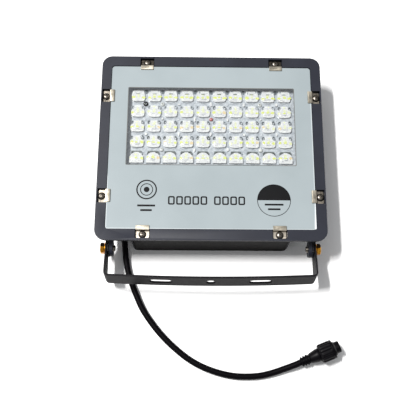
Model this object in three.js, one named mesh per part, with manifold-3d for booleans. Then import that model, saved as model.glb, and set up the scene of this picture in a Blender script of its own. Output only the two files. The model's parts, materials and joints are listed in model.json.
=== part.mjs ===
// Solar flood light: a die-cast lamp head lying on its back, with a clipped
// front glass, a U-shaped stirrup bracket and a short lead that ends in a
// two-pole waterproof connector.
// Millimetres, +Z up out of the glass, +X right, +Y towards the lamp's top edge.
// Origin: middle of the footprint, on the surface that the lamp lies on.

import * as THREE from 'three';
import { mergeVertices } from 'three/addons/utils/BufferGeometryUtils.js';
import Module from 'manifold-3d';

const wasm = await Module();
wasm.setup();

// ---------------------------------------------------------------- dimensions
const GAP = 0.3;                 // play between pieces that touch

// lamp head
const RIM_W = 220, RIM_H = 192;  // outer size of the front rim
const RIM_R = 10;                // its corner radius
const RIM_Z0 = 32, RIM_Z1 = 44;  // underside and front face of the rim
const RIM_DRAFT = 2;             // the rim's outer wall leans in this far towards the back
const OPEN_W = 200.6, OPEN_H = 170.8, OPEN_R = 3;  // opening that takes the glass
const LEDGE_Z = 37;              // ledge that carries the gasket
const TRAY_X = 91, TRAY_Y = 82;  // half size of the shallow tray behind the rim
const TRAY_Z0 = 26, TRAY_FLOOR = 28.5;
const CAV_X = 88.5, CAV_Y = 79.5;
const BOX_X = 77;                // half width of the deep battery box
const BOX_Y0 = -95.3, BOX_Y1 = -24;
const WALL = 2.8;
const FIN_T = 2.2, FIN_PITCH = 10, FIN_COUNT = 15;

// glass and gasket
const GLASS_W = 199.8, GLASS_H = 170, GLASS_T = 4, GLASS_Z0 = 39.1;
const GLASS_Z1 = GLASS_Z0 + GLASS_T;

// glass clips: two on each side of the rim
const CLIP_W = 12.6, CLIP_T = 1.0, POCKET_W = 14, POCKET_Z = 39.5;
const CLIP_AT_X = 64.8;          // on the top and bottom sides
const CLIP_AT_Y = 52.3;          // on the left and right sides
const SCREW_IN = 5.9;            // screw centre from the rim's outer edge

// light engine
const COLS = 10, ROWS = 5, PITCH = 16.35;
const LED_CY = 23.4;             // centre of the array
const PCB_Z0 = 28.8, PCB_T = 1.6;
const LENS_PLATE_Z0 = 31.5, LENS_PLATE_Z1 = 32.7, LENS_TOP = 36.9, LENS_SIDE = 13;

// pivot and bracket
const PIVOT_Y = -98.8, PIVOT_Z = 21.5;
const TILT = THREE.MathUtils.degToRad(8);   // bracket leans this far towards the front
const ARM_OUT = 100.8, STRAP_T = 1.5, STRAP_W = 22, STRAP_L = 32.7;
const ARM_END_R = 8.5, BEND_R = 4;
const SLOT_L = 22, SLOT_W = 9, SLOT_AT = 47.3, HOLE_D = 9;
const EAR_IN = 94.0, EAR_OUT = 97.0, EAR_R = 8.0;
const DISC_IN = 97.3, DISC_OUT = 99.0, DISC_R = 8.3, DISC_TEETH = 24;
const BOLT_D = 6, BOLT_AF = 10, BOLT_HEAD_T = 3.9, BOLT_TIP = 91.8, PIVOT_HOLE = 6.6;

// cable and connector
const CABLE_D = 6, CABLE_SIDES = 8;
const GLAND_X = -85, GLAND_Z = 14, GLAND_FACE = -60;
const CONN_ANGLE = THREE.MathUtils.degToRad(22);  // heading on the table
const CONN_TILT = THREE.MathUtils.degToRad(6);    // nose up
const CONN_C = [109.9, -195.1, 10.05];            // middle of the coupling nut
const NUT_D = 18.4, NUT_L = 14.2;

// the footprint runs from the rim's top edge to the bracket's lowest corner,
// so the whole lamp is shifted along Y to centre it on the origin
const Y_LOW = PIVOT_Y - STRAP_L * Math.cos(TILT) - STRAP_W / 2 * Math.sin(TILT);
const Y_SHIFT = -(RIM_H / 2 + Y_LOW) / 2;

// ------------------------------------------------------------------- helpers
const V2 = (x, y) => new THREE.Vector2(x, y);
const V3 = (x, y, z) => new THREE.Vector3(x, y, z);

function toSolid(geometry) {
  let g = geometry.clone();
  for (const name of Object.keys(g.attributes)) if (name !== 'position') g.deleteAttribute(name);
  g = mergeVertices(g, 1e-4);
  const index = g.index.array, tri = [];
  for (let i = 0; i < index.length; i += 3) {
    const a = index[i], b = index[i + 1], c = index[i + 2];
    if (a !== b && b !== c && c !== a) tri.push(a, b, c);
  }
  return new wasm.Manifold(new wasm.Mesh({
    numProp: 3,
    vertProperties: new Float32Array(g.attributes.position.array),
    triVerts: new Uint32Array(tri),
  }));
}

function toGeometry(solid) {
  const m = solid.getMesh(), n = m.numProp;
  const pos = new Float32Array(m.vertProperties.length / n * 3);
  for (let i = 0; i < pos.length / 3; i++) {
    for (let k = 0; k < 3; k++) pos[3 * i + k] = m.vertProperties[n * i + k];
  }
  const g = new THREE.BufferGeometry();
  g.setAttribute('position', new THREE.BufferAttribute(pos, 3));
  g.setIndex(new THREE.BufferAttribute(new Uint32Array(m.triVerts), 1));
  g.computeVertexNormals();
  return g;
}

const join = (list) => list.reduce((a, b) => a.add(b));
const cut = (a, list) => list.reduce((s, b) => s.subtract(b), a);

function box(x0, x1, y0, y1, z0, z1) {
  const g = new THREE.BoxGeometry(x1 - x0, y1 - y0, z1 - z0);
  g.translate((x0 + x1) / 2, (y0 + y1) / 2, (z0 + z1) / 2);
  return toSolid(g);
}

function roundRect(w, h, r, seg = 5, cx = 0, cy = 0) {
  const pts = [];
  for (const [sx, sy, a0] of [[1, 1, 0], [-1, 1, 90], [-1, -1, 180], [1, -1, 270]]) {
    for (let i = 0; i <= seg; i++) {
      const a = THREE.MathUtils.degToRad(a0 + 90 * i / seg);
      pts.push(V2(cx + sx * (w / 2 - r) + r * Math.cos(a), cy + sy * (h / 2 - r) + r * Math.sin(a)));
    }
  }
  return pts;
}

// outline in XY, pulled along Z
function slabZ(points, z0, z1) {
  const g = new THREE.ExtrudeGeometry(new THREE.Shape(points), { depth: z1 - z0, bevelEnabled: false });
  g.translate(0, 0, z0);
  return toSolid(g);
}

// outline in YZ, pulled along X
function slabX(points, x0, x1) {
  const g = new THREE.ExtrudeGeometry(new THREE.Shape(points), { depth: x1 - x0, bevelEnabled: false });
  g.applyMatrix4(new THREE.Matrix4().set(0, 0, 1, x0, 1, 0, 0, 0, 0, 1, 0, 0, 0, 0, 0, 1));
  return toSolid(g);
}

// turned shape: profile of [radius, height] pairs about the line through `at` along `dir`
function turned(profile, sides, at = [0, 0, 0], dir = [0, 0, 1]) {
  const g = new THREE.LatheGeometry(profile.map(([r, h]) => V2(Math.max(r, 0), h)), sides);
  const q = new THREE.Quaternion().setFromUnitVectors(V3(0, 1, 0), V3(...dir).normalize());
  g.applyQuaternion(q);
  g.translate(...at);
  let s = toSolid(g);
  if (s.volume() < 0) {
    const flipped = g.clone();
    const idx = flipped.index.array;
    for (let i = 0; i < idx.length; i += 3) [idx[i], idx[i + 1]] = [idx[i + 1], idx[i]];
    s = toSolid(flipped);
  }
  return s;
}

// round bar from a to b
function rod(a, b, d, sides = 16) {
  const va = V3(...a), vb = V3(...b);
  const h = va.distanceTo(vb);
  const g = new THREE.CylinderGeometry(d / 2, d / 2, h, sides);
  g.applyQuaternion(new THREE.Quaternion().setFromUnitVectors(V3(0, 1, 0), vb.clone().sub(va).normalize()));
  const mid = va.add(vb).multiplyScalar(0.5);
  g.translate(mid.x, mid.y, mid.z);
  return toSolid(g);
}

// round tube along a curve
function tubeAlong(points, d, sides, steps) {
  const curve = new THREE.CatmullRomCurve3(points.map((p) => V3(...p)), false, 'centripetal');
  const ring = [];
  for (let i = 0; i < sides; i++) {
    const a = 2 * Math.PI * i / sides;
    ring.push(V2(d / 2 * Math.cos(a), d / 2 * Math.sin(a)));
  }
  const g = new THREE.ExtrudeGeometry(new THREE.Shape(ring), { steps, bevelEnabled: false, extrudePath: curve });
  return toSolid(g);
}

// --------------------------------------------------------------- the assembly
const assembly = new THREE.Group();
const lamp = new THREE.Group();        // everything is drawn about the centre of the rim
lamp.position.y = Y_SHIFT;
assembly.add(lamp);

const finish = {
  paint: { color: 0x4b4d57, roughness: 0.5, metalness: 0.2 },
  steel: { color: 0xc8c2b6, roughness: 0.3, metalness: 1 },
  zinc: { color: 0xe0a530, roughness: 0.35, metalness: 1 },
  black: { color: 0x17171a, roughness: 0.5, metalness: 0 },
  rubber: { color: 0x1d1d20, roughness: 0.7, metalness: 0 },
  silicone: { color: 0xd8d8d4, roughness: 0.7, metalness: 0 },
  glass: { color: 0xc3d2d6, roughness: 0.08, metalness: 0, transparent: true, opacity: 0.5 },
  lens: { color: 0xe8ecef, roughness: 0.1, metalness: 0, transparent: true, opacity: 0.7 },
  board: { color: 0xe9ebe6, roughness: 0.6, metalness: 0 },
  green: { color: 0x1f6a3a, roughness: 0.5, metalness: 0 },
  cell: { color: 0x2b62a8, roughness: 0.4, metalness: 0 },
  red: { color: 0xb32020, roughness: 0.3, metalness: 0 },
  brass: { color: 0xc9a24a, roughness: 0.3, metalness: 1 },
  wire: { color: 0xa02020, roughness: 0.6, metalness: 0 },
};

function piece(name, solid, look, parent = lamp) {
  const geometry = solid.isBufferGeometry ? solid : toGeometry(solid);
  const mesh = new THREE.Mesh(geometry, new THREE.MeshStandardMaterial(finish[look]));
  mesh.name = name;
  parent.add(mesh);
  return mesh;
}

// ------------------------------------------------------------------- housing
const clipSpots = [                    // x, y of the clip's middle at the rim's outer edge, heading inwards
  { x: -CLIP_AT_X, y: RIM_H / 2, turn: 180 }, { x: CLIP_AT_X, y: RIM_H / 2, turn: 180 },
  { x: RIM_W / 2 + 0.8, y: CLIP_AT_Y, turn: 90 }, { x: RIM_W / 2 + 0.8, y: -CLIP_AT_Y, turn: 90 },
  { x: CLIP_AT_X, y: -RIM_H / 2, turn: 0 }, { x: -CLIP_AT_X, y: -RIM_H / 2, turn: 0 },
  { x: -RIM_W / 2 - 0.8, y: -CLIP_AT_Y, turn: -90 }, { x: -RIM_W / 2 - 0.8, y: CLIP_AT_Y, turn: -90 },
];
// a clip is drawn at the bottom side, its local +Y pointing inwards from the rim's outer edge
const atSpot = (solid, spot) => solid.rotate([0, 0, spot.turn]).translate([spot.x, spot.y, 0]);

const finProfile = (y) => [V2(BOX_Y1 - 1, 0), V2(y - 22, 0), V2(y, 16), V2(y, TRAY_Z0 + 1), V2(BOX_Y1 - 1, TRAY_Z0 + 1)];
const boardBosses = [[14, -49], [62, -32]];
const clampBoss = [0, -50];
const boardScrewSpots = [[-3 * PITCH, LED_CY + 1.5 * PITCH], [3 * PITCH, LED_CY + 1.5 * PITCH],
  [-3 * PITCH, LED_CY - 1.5 * PITCH], [3 * PITCH, LED_CY - 1.5 * PITCH]];

{
  const parts = [
    slabZ(roundRect(RIM_W, RIM_H, RIM_R, 6), RIM_Z1 - 3, RIM_Z1)
      .add(slabZ(roundRect(RIM_W - 2 * RIM_DRAFT, RIM_H - 2 * RIM_DRAFT, RIM_R - RIM_DRAFT, 6), RIM_Z0, RIM_Z0 + 0.5)).hull(),
    slabZ(roundRect(2 * TRAY_X, 2 * TRAY_Y, 8, 3), TRAY_Z0, RIM_Z0 + 1),
    slabZ(roundRect(2 * BOX_X, BOX_Y1 - BOX_Y0, 5, 3, 0, (BOX_Y0 + BOX_Y1) / 2), 0, RIM_Z0 + 7),
  ];
  for (let i = 0; i < FIN_COUNT; i++) {
    const x = (i - (FIN_COUNT - 1) / 2) * FIN_PITCH;
    parts.push(slabX(finProfile(TRAY_Y - 1), x - FIN_T / 2, x + FIN_T / 2));
  }
  // boss on the left of the battery box that takes the cable gland
  parts.push(slabX([V2(GLAND_FACE, 5), V2(-38, 5), V2(-34, 9), V2(-30, TRAY_Z0 + 1), V2(GLAND_FACE, TRAY_Z0 + 1)], -93, -BOX_X + 1)
    .intersect(box(-91, -70, -70, -20, 0, 40)));
  // ears for the pivot: a round lug with a web up to the rim
  for (const s of [-1, 1]) {
    const [x0, x1] = s > 0 ? [EAR_IN, EAR_OUT] : [-EAR_OUT, -EAR_IN];
    const lug = rod([x0, PIVOT_Y, PIVOT_Z], [x1, PIVOT_Y, PIVOT_Z], 2 * EAR_R, 24);
    const web = slabX([V2(PIVOT_Y - 6.2, PIVOT_Z + 4.9), V2(PIVOT_Y + 4, PIVOT_Z - 6.8), V2(-80, RIM_Z0 + 1), V2(-93.4, RIM_Z0 + 1)], x0, x1);
    const rib = slabX([V2(-90.5, PIVOT_Z + 4.5), V2(-80, TRAY_Z0 + 2), V2(-80, RIM_Z0 + 1), V2(-93.5, RIM_Z0 + 1)],
      s > 0 ? 85 : -EAR_IN - 1, s > 0 ? EAR_IN + 1 : -85);
    parts.push(lug, web, rib);
  }
  let body = join(parts);
  const cuts = [
    slabZ(roundRect(OPEN_W, OPEN_H, OPEN_R, 3), LEDGE_Z, RIM_Z1 + 1),
    slabZ(roundRect(2 * CAV_X, 2 * CAV_Y, 5, 3), TRAY_FLOOR, LEDGE_Z + 1),
    slabZ(roundRect(2 * (BOX_X - WALL), BOX_Y1 - BOX_Y0 - 2 * WALL, 3, 3, 0, (BOX_Y0 + BOX_Y1) / 2), WALL, TRAY_FLOOR + 1)
      .add(box(-BOX_X + WALL, BOX_X - WALL, BOX_Y0 + WALL, -60, TRAY_FLOOR - 6, 35.2)),
    // cable passage: along Y from the gland seat, then across into the battery box
    rod([GLAND_X, GLAND_FACE - 1, GLAND_Z], [GLAND_X, -44, GLAND_Z], 12.4, 20),
    rod([GLAND_X, -48, GLAND_Z], [-70, -48, GLAND_Z], 8, 16),
    // pivot holes
    rod([-EAR_OUT - 1, PIVOT_Y, PIVOT_Z], [-EAR_IN + 1, PIVOT_Y, PIVOT_Z], PIVOT_HOLE, 16),
    rod([EAR_IN - 1, PIVOT_Y, PIVOT_Z], [EAR_OUT + 1, PIVOT_Y, PIVOT_Z], PIVOT_HOLE, 16),
  ];
  for (const spot of clipSpots) {
    cuts.push(atSpot(box(-POCKET_W / 2, POCKET_W / 2, 2, 12, POCKET_Z, RIM_Z1 + 1), spot));
    cuts.push(atSpot(rod([0, SCREW_IN, 33.6], [0, SCREW_IN, POCKET_Z + 1], 3.3, 10), spot));
  }
  body = cut(body, cuts);
  // small bosses inside for the controller board, the battery clamp and the LED board
  const bosses = [], holes = [];
  for (const [x, y] of boardBosses) {
    bosses.push(rod([x, y, WALL - 0.5], [x, y, 9], 6.5, 12));
    holes.push(rod([x, y, 4], [x, y, 12], 2.7, 8));
  }
  bosses.push(rod([...clampBoss, WALL - 0.5], [...clampBoss, 6], 7, 12));
  holes.push(rod([...clampBoss, 3.2], [...clampBoss, 8], 2.7, 8));
  for (const [x, y] of boardScrewSpots) {
    bosses.push(rod([x, y, TRAY_Z0 - 5], [x, y, TRAY_FLOOR - 0.01], 7, 10));
    holes.push(rod([x, y, TRAY_Z0 - 4], [x, y, TRAY_FLOOR + 1], 2.7, 8));
  }
  body = cut(join([body, ...bosses]), holes);
  piece('housing', body, 'paint');
}

// --------------------------------------------------------- gasket and glass
piece('glass_gasket', cut(
  slabZ(roundRect(199.4, 169.6, 3, 3), LEDGE_Z + 0.25, GLASS_Z0 - 0.25),
  [slabZ(roundRect(187, 161, 4, 3), LEDGE_Z - 1, GLASS_Z0 + 1)]), 'silicone');
piece('front_glass', slabZ(roundRect(GLASS_W, GLASS_H, 3, 3), GLASS_Z0, GLASS_Z1), 'glass');

// ----------------------------------------------------------- clips and screws
{
  // Z-bent spring steel: lip on the glass, riser, foot under the screw
  const y0 = 2.6, riser = 9.9, lip = 14.5;
  const f0 = POCKET_Z + GAP, f1 = f0 + CLIP_T, l0 = GLASS_Z1 + GAP, l1 = l0 + CLIP_T;
  const z = [V2(y0, f0), V2(riser, f0), V2(riser + 0.7, f0 + 0.7), V2(riser + 0.7, l0), V2(lip, l0), V2(lip, l0 + 0.7), V2(lip - 0.3, l1),
    V2(riser, l1), V2(riser - 0.3, l1 - 0.3), V2(riser - 0.3, f1), V2(y0, f1)];
  const blank = cut(slabX(z, -CLIP_W / 2, CLIP_W / 2), [
    rod([0, SCREW_IN, f0 - 1], [0, SCREW_IN, f1 + 1], 3.9, 12),
  ]);
  const s0 = f1 + GAP;
  const screw = turned([[0, 34.2], [1.3, 34.2], [1.5, 34.6], [1.5, s0], [3.35, s0], [3.35, s0 + 1.0], [2.9, s0 + 1.7], [1.6, s0 + 2.1], [0, s0 + 2.1]],
    14, [0, SCREW_IN, 0]);
  const slot = (w, l) => box(-l / 2, l / 2, SCREW_IN - w / 2, SCREW_IN + w / 2, s0 + 1.1, s0 + 3);
  const crossScrew = cut(screw, [slot(0.9, 3.4), slot(3.4, 0.9)]);
  clipSpots.forEach((spot, i) => {
    piece(`glass_clip_${i + 1}`, atSpot(blank, spot), 'steel');
    piece(`clip_screw_${i + 1}`, atSpot(crossScrew, spot), 'steel');
  });
}

// --------------------------------------------------------------- light engine
const ledXY = [];
for (let r = 0; r < ROWS; r++) {
  for (let c = 0; c < COLS; c++) ledXY.push([(c - (COLS - 1) / 2) * PITCH, LED_CY + (r - (ROWS - 1) / 2) * PITCH]);
}
const receiverXY = [-4 * PITCH, LED_CY + 1.5 * PITCH];
const indicatorXY = [0, LED_CY + 0.5 * PITCH];
{
  const board = [slabZ(roundRect(169, 86.5, 2, 2, 0, LED_CY), PCB_Z0, PCB_Z0 + PCB_T)];
  for (const [x, y] of ledXY) board.push(box(x - 1.75, x + 1.75, y - 1.75, y + 1.75, PCB_Z0 + PCB_T - 0.2, PCB_Z0 + PCB_T + 0.7));
  piece('led_board', cut(join(board), boardScrewSpots.map(([x, y]) => rod([x, y, 28], [x, y, 31], 3.4, 10))), 'board');

  const lens = [slabZ(roundRect(165.6, 83.4, 2, 2, 0, LED_CY), LENS_PLATE_Z0, LENS_PLATE_Z1)];
  for (const [x, y] of ledXY) {
    const s = LENS_SIDE / 2;
    lens.push(slabZ(roundRect(2 * s, 2 * s, 2.2, 1, x, y), LENS_PLATE_Z1 - 0.2, LENS_TOP));
  }
  const through = boardScrewSpots.map(([x, y]) => rod([x, y, 31], [x, y, 38], 3.0, 10));
  through.push(rod([...indicatorXY, 31], [...indicatorXY, 38], 3.3, 12), rod([...receiverXY, 31], [...receiverXY, 38], 5.0, 14));
  piece('lens_array', cut(join(lens), through), 'lens');

  boardScrewSpots.forEach(([x, y], i) => piece(`board_screw_${i + 1}`, turned(
    [[0, 23], [1.1, 23], [1.1, LENS_PLATE_Z1 + GAP], [2.2, LENS_PLATE_Z1 + GAP], [2.2, LENS_PLATE_Z1 + 1.3], [1.4, LENS_PLATE_Z1 + 1.8], [0, LENS_PLATE_Z1 + 1.8]],
    10, [x, y, 0]), 'steel'));
  piece('indicator_led', turned([[0, PCB_Z0 + PCB_T + GAP], [1.35, PCB_Z0 + PCB_T + GAP], [1.35, 34.2], [1.0, 35.1], [0, 35.5]], 12, [...indicatorXY, 0]), 'red');
  piece('remote_receiver', turned([[0, PCB_Z0 + PCB_T + GAP], [2.2, PCB_Z0 + PCB_T + GAP], [2.2, 35.6], [1.3, 36.2], [1.3, 35.2], [0, 35.2]], 14, [...receiverXY, 0]), 'black');
}

// ------------------------------------------------------ battery and controller
{
  const cy = -72, cz = 19.1, r = 16;
  const cell = (x0, dir) => turned([[0, 0], [r - 1, 0], [r, 0.8], [r, 67.4], [r - 1, 68.2], [4, 68.2], [3.6, 69.4], [0, 69.4]], 24, [x0, cy, cz], [dir, 0, 0]);
  piece('battery_cell_1', cell(-72, 1), 'cell');
  piece('battery_cell_2', cell(2, 1), 'cell');
  // sheet clamp over the joint of the two cells, foot screwed to a boss
  const arc = (rr, n = 10) => Array.from({ length: n + 1 }, (_, i) => {
    const a = Math.PI * i / n;
    return V2(cy + rr * Math.cos(a), cz + rr * Math.sin(a));
  });
  const outer = arc(r + 1.4), inner = arc(r + 0.4).reverse();
  const profile = [V2(-46.5, 6.3), V2(-46.5, 7.3), V2(cy + r + 1.4, 7.3), ...outer, V2(cy - r - 1.4, 4), V2(cy - r - 0.4, 4), ...inner, V2(cy + r + 0.4, 6.3)];
  piece('battery_clamp', cut(slabX(profile, -7, 7), [rod([...clampBoss, 5], [...clampBoss, 9], 3, 10)]), 'steel');
  const clampScrew = (x, y, z, depth) => turned([[0, z - depth], [1.05, z - depth], [1.05, z], [2.4, z], [2.4, z + 1.1], [1.5, z + 1.7], [0, z + 1.7]], 10, [x, y, 0]);
  piece('clamp_screw', clampScrew(...clampBoss, 7.6, 4), 'steel');

  const z0 = 9.3, z1 = 10.9;
  const board = join([
    box(8, 68, -54, -28, z0, z1),
    box(20, 30, -50, -42, z1 - 0.2, z1 + 4.5),      // input terminal
    box(34, 46, -52, -40, z1 - 0.2, z1 + 6),        // inductor
    rod([53, -34, z1 - 0.2], [53, -34, z1 + 10], 8, 14),  // capacitor
    box(22, 32, -38, -31, z1 - 0.2, z1 + 1.6),      // charge controller chip
    box(56, 64, -51, -42, z1 - 0.2, z1 + 5),        // battery terminal
  ]);
  piece('controller_board', cut(board, boardBosses.map(([x, y]) => rod([x, y, 8], [x, y, 12], 3, 10))), 'green');
  boardBosses.forEach(([x, y], i) => piece(`controller_screw_${i + 1}`, clampScrew(x, y, z1 + GAP, 5.4), 'steel'));
  piece('lead_panel', tubeAlong([[-79, -48, GLAND_Z], [-68, -46, 13], [-50, -42, 8], [-20, -38, 6.5], [0, -42, 10], [8, -45, 14.5], [19.6, -46, 14]], 2.6, 6, 16), 'rubber');
  piece('lead_battery', tubeAlong([[60, -52, 13.5], [63, -53, 13.3], [68, -54, 13], [71.6, -55, 13], [72.9, -58.5, 13.6], [72.9, -66, 15]], 1.4, 6, 18), 'wire');
  piece('lead_led', tubeAlong([[52, -42, 18], [48, -36, 24], [44, -29, 32.5], [42, -22.5, 33.4], [40, -20.4, 32.4]], 1.8, 6, 16), 'wire');
}

// ------------------------------------------------------------ pivots and bracket
for (const s of [-1, 1]) {
  const side = s < 0 ? 'left' : 'right';
  const at = (x) => [s * x, PIVOT_Y, PIVOT_Z];
  // toothed friction disc between ear and arm
  const teeth = [];
  for (let i = 0; i < 2 * DISC_TEETH; i++) {
    const a = Math.PI * i / DISC_TEETH, rr = i % 2 ? DISC_R - 0.45 : DISC_R;
    teeth.push(V2(PIVOT_Y + rr * Math.cos(a), PIVOT_Z + rr * Math.sin(a)));
  }
  piece(`friction_disc_${side}`, cut(slabX(teeth, s > 0 ? DISC_IN : -DISC_OUT, s > 0 ? DISC_OUT : -DISC_IN),
    [rod(at(DISC_IN - 1), at(DISC_OUT + 1), PIVOT_HOLE, 16)]), 'black');
  piece(`spring_washer_${side}`, cut(rod(at(ARM_OUT + GAP), at(ARM_OUT + GAP + 1.2), 11, 20),
    [rod(at(ARM_OUT), at(ARM_OUT + 3), PIVOT_HOLE, 16)]), 'zinc');
  const h0 = ARM_OUT + 2 * GAP + 1.2;
  const hex = new THREE.CylinderGeometry(BOLT_AF / Math.sqrt(3), BOLT_AF / Math.sqrt(3), BOLT_HEAD_T, 6);
  hex.rotateZ(Math.PI / 2);
  hex.translate(s * (h0 + BOLT_HEAD_T / 2), PIVOT_Y, PIVOT_Z);
  piece(`pivot_bolt_${side}`, toSolid(hex).add(rod(at(h0 + 1), at(BOLT_TIP), BOLT_D, 16)), 'zinc');
}

{
  // drawn with the arms pointing along -Y from the pivot line, then leaned forward
  const hinge = new THREE.Group();
  hinge.position.set(0, PIVOT_Y, PIVOT_Z);
  hinge.rotation.x = -TILT;
  lamp.add(hinge);
  const uShape = (x, y, r, seg) => {
    const pts = [V2(x, 12)];
    pts.push(V2(x, y + r));
    for (let i = 1; i <= seg; i++) { const a = Math.PI / 2 * i / seg; pts.push(V2(x - r + r * Math.cos(a), y + r - r * Math.sin(a))); }
    for (let i = 0; i < seg; i++) { const a = Math.PI / 2 * i / seg; pts.push(V2(-x + r - r * Math.sin(a), y + r - r * Math.cos(a))); }
    pts.push(V2(-x, y + r), V2(-x, 12));
    return pts;
  };
  const outer = uShape(ARM_OUT, -STRAP_L, BEND_R, 4);
  const inner = uShape(ARM_OUT - STRAP_T, -STRAP_L + STRAP_T, BEND_R - STRAP_T, 4).reverse();
  const strap = slabZ([...outer, ...inner], -STRAP_W / 2, STRAP_W / 2);
  // side view of an arm: round end on the pivot, widening to the full strap
  const side = [];
  for (let i = 0; i <= 12; i++) { const a = Math.PI * i / 12; side.push(V2(ARM_END_R * Math.sin(a), -ARM_END_R * Math.cos(a))); }
  side.push(V2(-4, ARM_END_R), V2(-19, STRAP_W / 2), V2(-STRAP_L - 2, STRAP_W / 2), V2(-STRAP_L - 2, -STRAP_W / 2), V2(-19, -STRAP_W / 2), V2(-4, -ARM_END_R));
  let bracket = strap.intersect(slabX(side, -ARM_OUT - 1, ARM_OUT + 1));
  const slotOutline = (cx) => {
    const pts = [], r = SLOT_W / 2;
    for (let i = 0; i <= 6; i++) { const a = -Math.PI / 2 + Math.PI * i / 6; pts.push([cx + SLOT_L / 2 - r + r * Math.cos(a), r * Math.sin(a)]); }
    for (let i = 0; i <= 6; i++) { const a = Math.PI / 2 + Math.PI * i / 6; pts.push([cx - SLOT_L / 2 + r + r * Math.cos(a), r * Math.sin(a)]); }
    return pts;
  };
  const throughStrap = (outline) => {
    // outline in XZ, pulled along -Y through the strap
    const g = new THREE.ExtrudeGeometry(new THREE.Shape(outline.map(([x, z]) => V2(x, z))), { depth: 8, bevelEnabled: false });
    g.rotateX(Math.PI / 2);
    g.translate(0, -STRAP_L + 5, 0);
    return toSolid(g);
  };
  bracket = cut(bracket, [
    throughStrap(slotOutline(-SLOT_AT)), throughStrap(slotOutline(SLOT_AT)),
    rod([0, -STRAP_L - 2, 0], [0, -STRAP_L + 4, 0], HOLE_D, 16),
    rod([-ARM_OUT - 2, 0, 0], [-ARM_OUT + 6, 0, 0], PIVOT_HOLE, 16),
    rod([ARM_OUT - 6, 0, 0], [ARM_OUT + 2, 0, 0], PIVOT_HOLE, 16),
  ]);
  piece('bracket', bracket, 'paint', hinge);
}

// ------------------------------------------------------------------ cable gland
{
  const at = [GLAND_X, GLAND_FACE, GLAND_Z], dir = [0, -1, 0];
  const hexFlange = new THREE.CylinderGeometry(8.2, 8.2, 4, 6);
  hexFlange.translate(GLAND_X, GLAND_FACE - GAP - 2, GLAND_Z);
  const bodyBar = turned([[3.5, -9], [5.85, -9], [5.85, -GAP - 0.5], [5.85, 12.5], [3.5, 12.5], [3.5, -9]], 20, at, dir);
  piece('gland_body', cut(toSolid(hexFlange), [rod([GLAND_X, GLAND_FACE + 1, GLAND_Z], [GLAND_X, GLAND_FACE - 6, GLAND_Z], 8, 16)]).add(bodyBar), 'black');
  piece('gland_seal', turned([[3.3, 12.8], [5.6, 12.8], [4.7, 15.8], [3.3, 15.8], [3.3, 12.8]], 16, at, dir), 'rubber');
  piece('gland_nut', turned([[6.2, 4.7], [8, 4.7], [8, 12], [6.9, 15.5], [4.9, 18.5], [3.4, 18.5], [3.4, 16.2], [5.2, 16.0], [6.2, 12.4], [6.2, 4.7]], 16, at, dir), 'black');
}

// --------------------------------------------------------------- lead and plug
// The lead leaves the gland along -Y, drops to the surface, runs under the
// bracket and sweeps round to the connector.
const axis = V3(Math.cos(CONN_ANGLE) * Math.cos(CONN_TILT), Math.sin(CONN_ANGLE) * Math.cos(CONN_TILT), Math.sin(CONN_TILT));
const onAxis = (s) => V3(...CONN_C).addScaledVector(axis, s - 26.6).toArray();   // s counts from the boot's mouth
const CABLE_POINTS = [
  [-85, -78.9, 14], [-84.9, -83, 13.3], [-84.6, -88, 10.7], [-84.2, -94, 7.2], [-83.7, -100, 4.7], [-83.1, -106.1, 3.5], [-81.9, -112, 3.15],
  [-80.6, -117.5, 3.1], [-78.6, -124, 3.1], [-76.0, -131, 3.1], [-71.3, -142.5, 3.1], [-65.2, -155, 3.1], [-55.3, -169.2, 3.1],
  [-45.5, -180.6, 3.1], [-34.8, -190.8, 3.1], [-20.6, -201.8, 3.1], [-7, -209.2, 3.1], [9.2, -214.8, 3.1], [22, -217.3, 3.1],
  [34.8, -217.9, 3.1], [48, -216.9, 3.2], [60.5, -213.9, 3.8], [70, -210.7, 4.9], onAxis(-7), onAxis(-GAP),
];
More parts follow.
